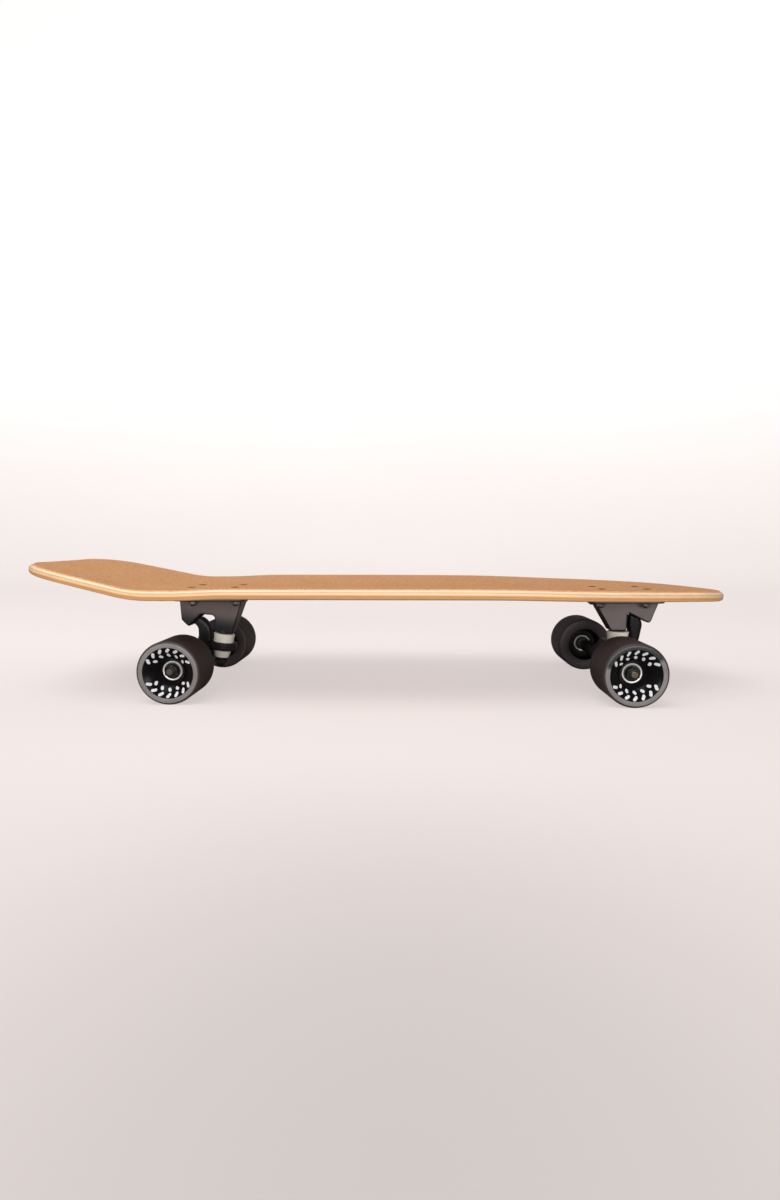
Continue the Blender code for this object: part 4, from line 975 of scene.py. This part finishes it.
def hangerMesh(truck):
    axle, along = axleMiddle(truck), (0, 1, 0)
    beam = turnedMesh(beamLine + [(r, -h) for r, h in beamLine[::-1]], 48, axle, along)
    half, radius, inner = ringSize["thickness"] / 2, ringSize["radius"], ringSize["bore"]
    ring = turnedMesh(roundLine([(0, -half), (radius, -half), (radius, half), (0, half)], [0, 0.0018, 0.0018, 0], 4,
                                False), 64, *pinFrame(truck))
    pin, reach, root = pivotSize["pin"], pivotSize["reach"], -pivotSize["root"]
    nose = turnedMesh(roundLine([(0, root), (pin, root), (pin, reach), (0, reach)], [0, 0, 0.0028, 0], 5, False), 36,
                      *pivotFrame(truck))
    low, high = lowerBushing["topRadius"] + 2 * air, upperBushing["lowRadius"] + 2 * air
    bore = turnedMesh([(0, -2 * half), (low, -2 * half), (low, -upperSeat), (inner, -upperSeat), (inner, upperSeat),
                       (high, upperSeat), (high, 2 * half), (0, 2 * half)], 64, *pinFrame(truck))
    drill = axleSize["hole"]
    hole = turnedMesh([(0, -0.2), (drill, -0.2), (drill, 0.2), (0, 0.2)], 28, axle, along)
    return castMesh([beam, webMesh(truck), ring, armMesh(truck), nose], [bore, hole], 0.4)


# A bushing: a tapered ring with round rims and sides that draw in a little, as poured urethane does under load.
# Its bore widens towards the hanger, where the ring rocks on it.
def bushingLine(size, low, high, lowRadius, highRadius, ringIsLow):
    narrow, wide = kingpinSize["radius"] + air, kingpinSize["radius"] + kingpinSize["rockRoom"]
    lowBore, highBore = (wide, narrow) if ringIsLow else (narrow, wide)
    line = roundLine([(lowBore, low), (lowRadius, low), (highRadius, high), (highBore, high)],
                     [0, size["round"], size["round"], 0], 6, False)
    share = (line[:, 1] - low) / (high - low)
    waist = size["waist"] * np.sin(np.pi * np.clip(share, 0, 1)) * (line[:, 0] > wide + 1e-6)
    rows = np.linspace(0, 1, 13)[1:-1]
    side = np.stack([lowRadius + (highRadius - lowRadius) * rows - size["waist"] * np.sin(np.pi * rows),
                     low + (high - low) * rows], 1)
    line = line - np.stack([waist, np.zeros(len(line))], 1)
    lower, upper = line[line[:, 1] < side[0, 1]], line[line[:, 1] > side[-1, 1]]
    bore = np.stack([highBore + (lowBore - highBore) * rows, high + (low - high) * rows], 1)
    return np.concatenate([lower, side, upper, bore])


cupWasher = dict(thickness=0.0016, well=0.0082, radius=0.0098, lip=0.001, lipInside=0.0091)


def buildTruck(truck):
    body, pivot, (centre, pinAxis) = truck + "_hanger_body", pivotFrame(truck), pinFrame(truck)

    def add(label, mesh, finish, body, node, slot):
        dress(truck + label, mesh, [finish], body, truck + node)

    add("Baseplate", markPaintedLight(truck, baseplateMesh(truck)), castCoatAndShade, "board", "_baseplate", "casting")
    add("Hanger", hangerMesh(truck), hangerFinishes[truck], body, "_hanger", "casting")
    pin, depth = pivotSize["pin"] + air, pivotSize["depth"] - air
    floor = depth - pivotSize["cupFloor"]
    cup = roundLine([(pin, 0), (cupRadius, 0), (cupRadius, depth), (0, depth), (0, floor), (pin, floor)],
                    [0.0005, 0.0004, 0.0006, 0, 0, 0.0006], 3)
    add("PivotCup", turnedMesh(cup, 48, *pivot), cupFinish, "board", "_pivot_cup", "cup")

    upperLow, lowerTop = upperSeat + air, -upperSeat - air
    upperTop, lowerLow = upperLow + upperBushing["height"], lowerTop - lowerBushing["height"]
    upper = bushingLine(upperBushing, upperLow, upperTop, upperBushing["lowRadius"], upperBushing["topRadius"], True)
    lower = bushingLine(lowerBushing, lowerLow, lowerTop, lowerBushing["lowRadius"], lowerBushing["topRadius"], False)
    ringEnd = ringSize["blendEnd"]
    for label, node, line, fixed, ringFace in (("UpperBushing", "_upper_bushing", upper, upperTop, ringEnd),
                                               ("LowerBushing", "_lower_bushing", lower, lowerLow, -ringEnd)):
        piece = addPiece(truck + label, turnedMesh(line, 72, centre, pinAxis), bushingFinish)
        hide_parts(truck + node)
        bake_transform(piece)

    w, bore, top = cupWasher, kingpinSize["radius"] + air, lowerLow - air
    low, high = top - w["thickness"], top + w["lip"]
    line = roundLine([(bore, top), (bore, low), (w["well"], low), (w["radius"], top), (w["radius"], high),
                      (w["lipInside"], high), (w["lipInside"], top)], [0, 0.0003, 0.001, 0.0006, 0.0003, 0.0003,
                                                                       0.0002], 3)
    add("CupWasher", turnedMesh(line, 64, centre, pinAxis), oxideFinish, "board", "_lower_washer", "black_steel")

    k, nutTop = kingpinSize, low - air
    nut = nutMesh(k["headFlats"], k["nutHeight"], bore, centre + pinAxis * nutTop, -pinAxis, k["collar"])
    add("KingpinNut", nut, oxideFinish, "board", "_kingpin_nut", "black_steel")
    shankLow, headLow = nutTop - k["nutHeight"] - k["stickOut"], legSeat + k["grip"] + air
    shank = rodMesh(k["radius"], shankLow, headLow + k["headHeight"] * 0.5, [(shankLow, lowerLow)], k["pitch"],
                    k["threadDepth"], centre, pinAxis)
    head = nutMesh(k["headFlats"], k["headHeight"], k["headBore"], centre + pinAxis * headLow, pinAxis)
    add("Kingpin", joinMeshes([shank, head]), oxideFinish, "board", "_kingpin", "black_steel")

    axle, a = axleMiddle(truck), axleSize
    threads = [(-a["half"], -a["threadStart"]), (a["threadStart"], a["half"])]
    rod = rodMesh(a["radius"], -a["half"], a["half"], threads, a["pitch"], a["threadDepth"], axle, (0, 1, 0))
    add("Axle", rod, axleFinish, body, "_axle", "steel")
    for side, toLeft in (("left", 1), ("right", -1)):
        buildWheel(truck, side, axle + np.array([0, toLeft * a["wheelPlace"], 0]), np.array([0, toLeft, 0.0]))


# Tyre section from the hub bore out over the dished printed face, lip, tread, inner wall and recess, back along the
# core. Each stretch names its finish: 0 tread, 1 ground lip, 2 printed face, 3 recess in painted near-black shade.
def tyreLine():
    w = wheelSize
    half, tread = w["width"] / 2, w["tread"] / 2
    side, end = w["core"] + air, w["coreHalf"] + air
    rim, dish = half - w["rimDepth"], half - w["dishDepth"]
    stretches = [
        (3, [(w["bore"], end), (w["bore"] + 0.0003, end + 0.0004), (w["rim"] - 0.0003, rim - 0.0006)]),
        (2, [(w["rim"], rim), (w["rim"] + 0.0004, rim + 0.0005), (0.0185, rim + 0.0027), (w["dish"], dish),
             (0.0245, dish + 0.0014), (0.0265, dish + 0.0024), (0.0278, half - 0.0004)]),
        (1, [(0.028, half - 0.0002), (0.0283, half), (0.0302, half), (0.0321, half), (0.0326, half - 0.0001)]),
        (0, [(0.0328, half - 0.0002), (0.0337, half - 0.0006), (0.0345, half - 0.0013), (0.0349, half - 0.0021),
             (w["radius"], tread), (w["radius"], tread * 0.5), (w["radius"], 0), (w["radius"], -tread * 0.5),
             (w["radius"], -tread)]),
        (0, [(0.0349, -tread - 0.0007), (0.0345, 0.0012 - half), (0.0337, 0.0005 - half), (0.0325, 0.0001 - half),
             (0.031, -half), (0.028, 0.0001 - half), (0.025, 0.0004 - half), (0.0226, 0.0008 - half)]),
        (3, [(w["recess"], 0.0014 - half), (0.0209, -0.019), (side + 0.001, -end), (side, -end), (side, end),
             (w["bore"], end)]),
    ]
    line = np.array([point for number, points in stretches for point in points])
    numbers = [number for number, points in stretches for point in points]
    return line, numbers


def coreMesh(origin, axis):
    seat, outer, half = bearingSize["radius"] + air, wheelSize["core"], wheelSize["coreHalf"]
    shoulder, inner = bearingSize["place"] - air, wheelSize["coreShoulder"]
    line = roundLine([(seat, -half), (outer, -half), (outer, half), (seat, half), (seat, shoulder), (inner, shoulder),
                      (inner, -shoulder), (seat, -shoulder)], [0.0004] * 4 + [0] * 4, 3)
    return turnedMesh(line, 72, origin, axis, 30)


# Radius and depth of a bearing's outer face, shield first, then the race. Both faces are alike.
bearingFace = [(0.0064, 0.0007), (0.0068, 0.0005), (0.0085, 0.0004), (0.009, 0.0006), (0.0092, 0.0001), (0.0094, 0.0),
               (0.0107, 0.0), (0.011, 0.0003)]


def bearingMesh(low, origin, axis):
    high = low + bearingSize["width"]
    outerFace = [(r, high - depth) for r, depth in bearingFace]
    innerFace = [(r, low + depth) for r, depth in bearingFace[::-1]]
    return turnedMesh(outerFace + innerFace, 72, origin, axis, 35, [1] * 3 + [0] * 9 + [1] * 4)


def buildWheel(truck, side, centre, axis):
    node = f"{truck}_{side}"

    def add(label, mesh, finishes, body, ending, slot):
        dress(truck + side.capitalize() + label, mesh, finishes, body, node + ending)

    wheel, hanger = node + "_wheel", truck + "_hanger_body"
    line, numbers = tyreLine()
    add("Tyre", turnedMesh(line, wheelSize["steps"], centre, axis, 28, numbers),
        [treadFinish, groundLips[truck], printedFace, recessShadeFinish], wheel, "_tyre", "tyre")
    add("Hub", coreMesh(centre, axis), [hubFinish], wheel, "_core", "core")
    near, far = bearingSize["place"], bearingSize["sleeveHalf"]
    for label, low in (("outer", near), ("inner", -near - bearingSize["width"])):
        add(label.capitalize() + "Bearing", bearingMesh(low, centre, axis), [raceFinish, shieldFinish], wheel,
            f"_{label}_bearing", "shield")
    bore, race, spacer = axleSize["hole"], bearingSize["sleeveRadius"], bearingSize["spacerRadius"]
    sleeve = roundLine([(bore, -far), (race, -far), (race, -near), (spacer, -near), (spacer, near), (race, near),
                        (race, far), (bore, far)], [0.0002, 0.0003, 0, 0, 0, 0, 0.0003, 0.0002], 3)
    add("Sleeve", turnedMesh(sleeve, 48, centre, axis), [zincFinish], hanger, "_bearing_sleeve", "steel")
    nut = nutMesh(axleNut["flats"], axleNut["height"], bore, centre + axis * (far + air), axis, axleNut["collar"])
    add("AxleNut", nut, [axleNutFinish], hanger, "_axle_nut", "steel")


for truck in ("rear", "front"):
    buildTruck(truck)
    print(truck, "truck ready")


# Studio: plain pale paper that curves up into a backdrop. The camera also sees a painted glow on it, from a greyer
# front of the floor over a pale middle to a white wall, so that the picture's ground is pale with no more light on the
# board. The greyer front is painted shade, darkest in a painted shadow in line with the board.
# The glow's colours run near, mid, far, wall, top; near is painted shade at the floor's front
studio = dict(paperDark=(0.33, 0.307, 0.299), paperLight=(0.36, 0.335, 0.326), near=(0.295, 0.267, 0.256),
              mid=(0.56, 0.508, 0.496), far=(0.65, 0.59, 0.575), wall=(0.755, 0.7, 0.685), top=(0.9, 0.89, 0.88),
              nearY=-0.63, midY=-0.26, farY=0.35, back=2.6, height=4.5, curve=1.1, world=0.34, front=-6.0,
              halfWidth=8.0, paintedShadowX=0.03, paintedShadowRun=0.28, paintedShadowFall=-0.6, wallLow=0.1, wallHigh=1.2)


def studioFinish():
    material, tree, shader, place = startFinish("studioPaper", Roughness=0.95, Specular_IOR_Level=0.1)
    x, y, z = addNode(tree, "ShaderNodeSeparateXYZ", {0: place}).outputs
    cloud = useGroup(tree, mottleGroup, Place=place, Scale=0.8, Dark=studio["paperDark"], Light=studio["paperLight"],
                     Tone=1.0)
    # painted shadow: the front glow is darkest along a line in line with the board and lighter to the sides
    offLine = calc(tree, "ABSOLUTE", calc(tree, "SUBTRACT", x, studio["paintedShadowX"]))
    paintedShadowSpread = calc(tree, "MULTIPLY_ADD", softStep(tree, offLine, 0.0, studio["paintedShadowRun"]), studio["paintedShadowFall"], 1.0)
    near = calc(tree, "MULTIPLY", softStep(tree, y, studio["midY"], studio["nearY"]), paintedShadowSpread)
    shown = mixColour(tree, near, studio["mid"], studio["near"])
    shown = mixColour(tree, softStep(tree, y, studio["midY"], studio["farY"]), shown, studio["far"])
    shown = mixColour(tree, softStep(tree, y, studio["farY"], studio["back"]), shown, studio["wall"])
    shown = mixColour(tree, softStep(tree, z, studio["wallLow"], studio["wallHigh"]), shown, studio["top"])
    seen = addNode(tree, "ShaderNodeLightPath").outputs["Is Camera Ray"]
    feed(tree, shader, Base_Color=cloud["Colour"], Emission_Color=shown, Emission_Strength=seen)
    return material


# A section of floor, quarter round and wall, drawn sideways
def studioMesh():
    angle = np.linspace(0, pi / 2, 24)
    curve = np.stack([studio["back"] - studio["curve"] + studio["curve"] * np.sin(angle),
                      studio["curve"] * (1 - np.cos(angle))], 1)
    section = np.concatenate([[(studio["front"], 0.0)], curve, [(studio["back"], studio["height"])]])
    x = np.array([-studio["halfWidth"], studio["halfWidth"]])
    grid = np.stack(np.broadcast_arrays(x[None, :], section[:, :1], section[:, 1:]), axis=2)
    return gridMesh([grid.astype(float)])


paper = addPiece("studioPaper", studioMesh(), studioFinish())


def addLamp(name, place, target, size, power, tint):
    data = bpy.data.lights.new(name, "AREA")
    data.shape = "RECTANGLE"
    data.size, data.size_y = size
    data.energy = power
    data.color = tint
    lamp = bpy.data.objects.new(name, data)
    lamp.location = place
    lamp.rotation_euler = (Vector(target) - Vector(place)).to_track_quat("-Z", "Y").to_euler()
    scene.collection.objects.link(lamp)


# Place, target, size, power and tint
lamps = {"keyLamp": ((-0.6, -0.7, 2.1), (0, 0, 0.05), (2.2, 1.6), 33, (1.0, 0.985, 0.965)),
         "fillLamp": ((0.2, -2.4, 0.36), (0, 0, 0.06), (2.6, 0.7), 37, (1.0, 1.0, 1.0))}
for name, values in lamps.items():
    addLamp(name, *values)

world = bpy.data.worlds.new("studioAir")
scene.world = world
world.use_nodes = True
airGlow = world.node_tree.nodes["Background"]
airGlow.inputs["Color"].default_value = (1.0, 0.985, 0.975, 1.0)
seen = addNode(world.node_tree, "ShaderNodeLightPath").outputs["Is Camera Ray"]
world.node_tree.links.new(calc(world.node_tree, "MAXIMUM", seen, studio["world"]), airGlow.inputs["Strength"])

# The camera solved on the photo: place in metres, turns in radians, and the focal length as a share of the height
photoView = dict(place=(0.03188, -0.78492, 0.17999), turn=0.03216, tip=0.09763, roll=-0.00113, focal=627.05 / 1200,
                 sensor=36.0)
lens = bpy.data.cameras.new("photoCamera")
lens.sensor_fit = "VERTICAL"
lens.sensor_height = photoView["sensor"]
lens.lens = photoView["focal"] * photoView["sensor"]
lens.clip_start = 0.01
camera = bpy.data.objects.new("photoCamera", lens)
camera.matrix_world = (Matrix.Translation(photoView["place"]) @ Matrix.Rotation(photoView["turn"], 4, "Z")
                       @ Matrix.Rotation(pi / 2 - photoView["tip"], 4, "X")
                       @ Matrix.Rotation(photoView["roll"], 4, "Z"))
scene.collection.objects.link(camera)
scene.camera = camera
scene.view_settings.view_transform = "Standard"
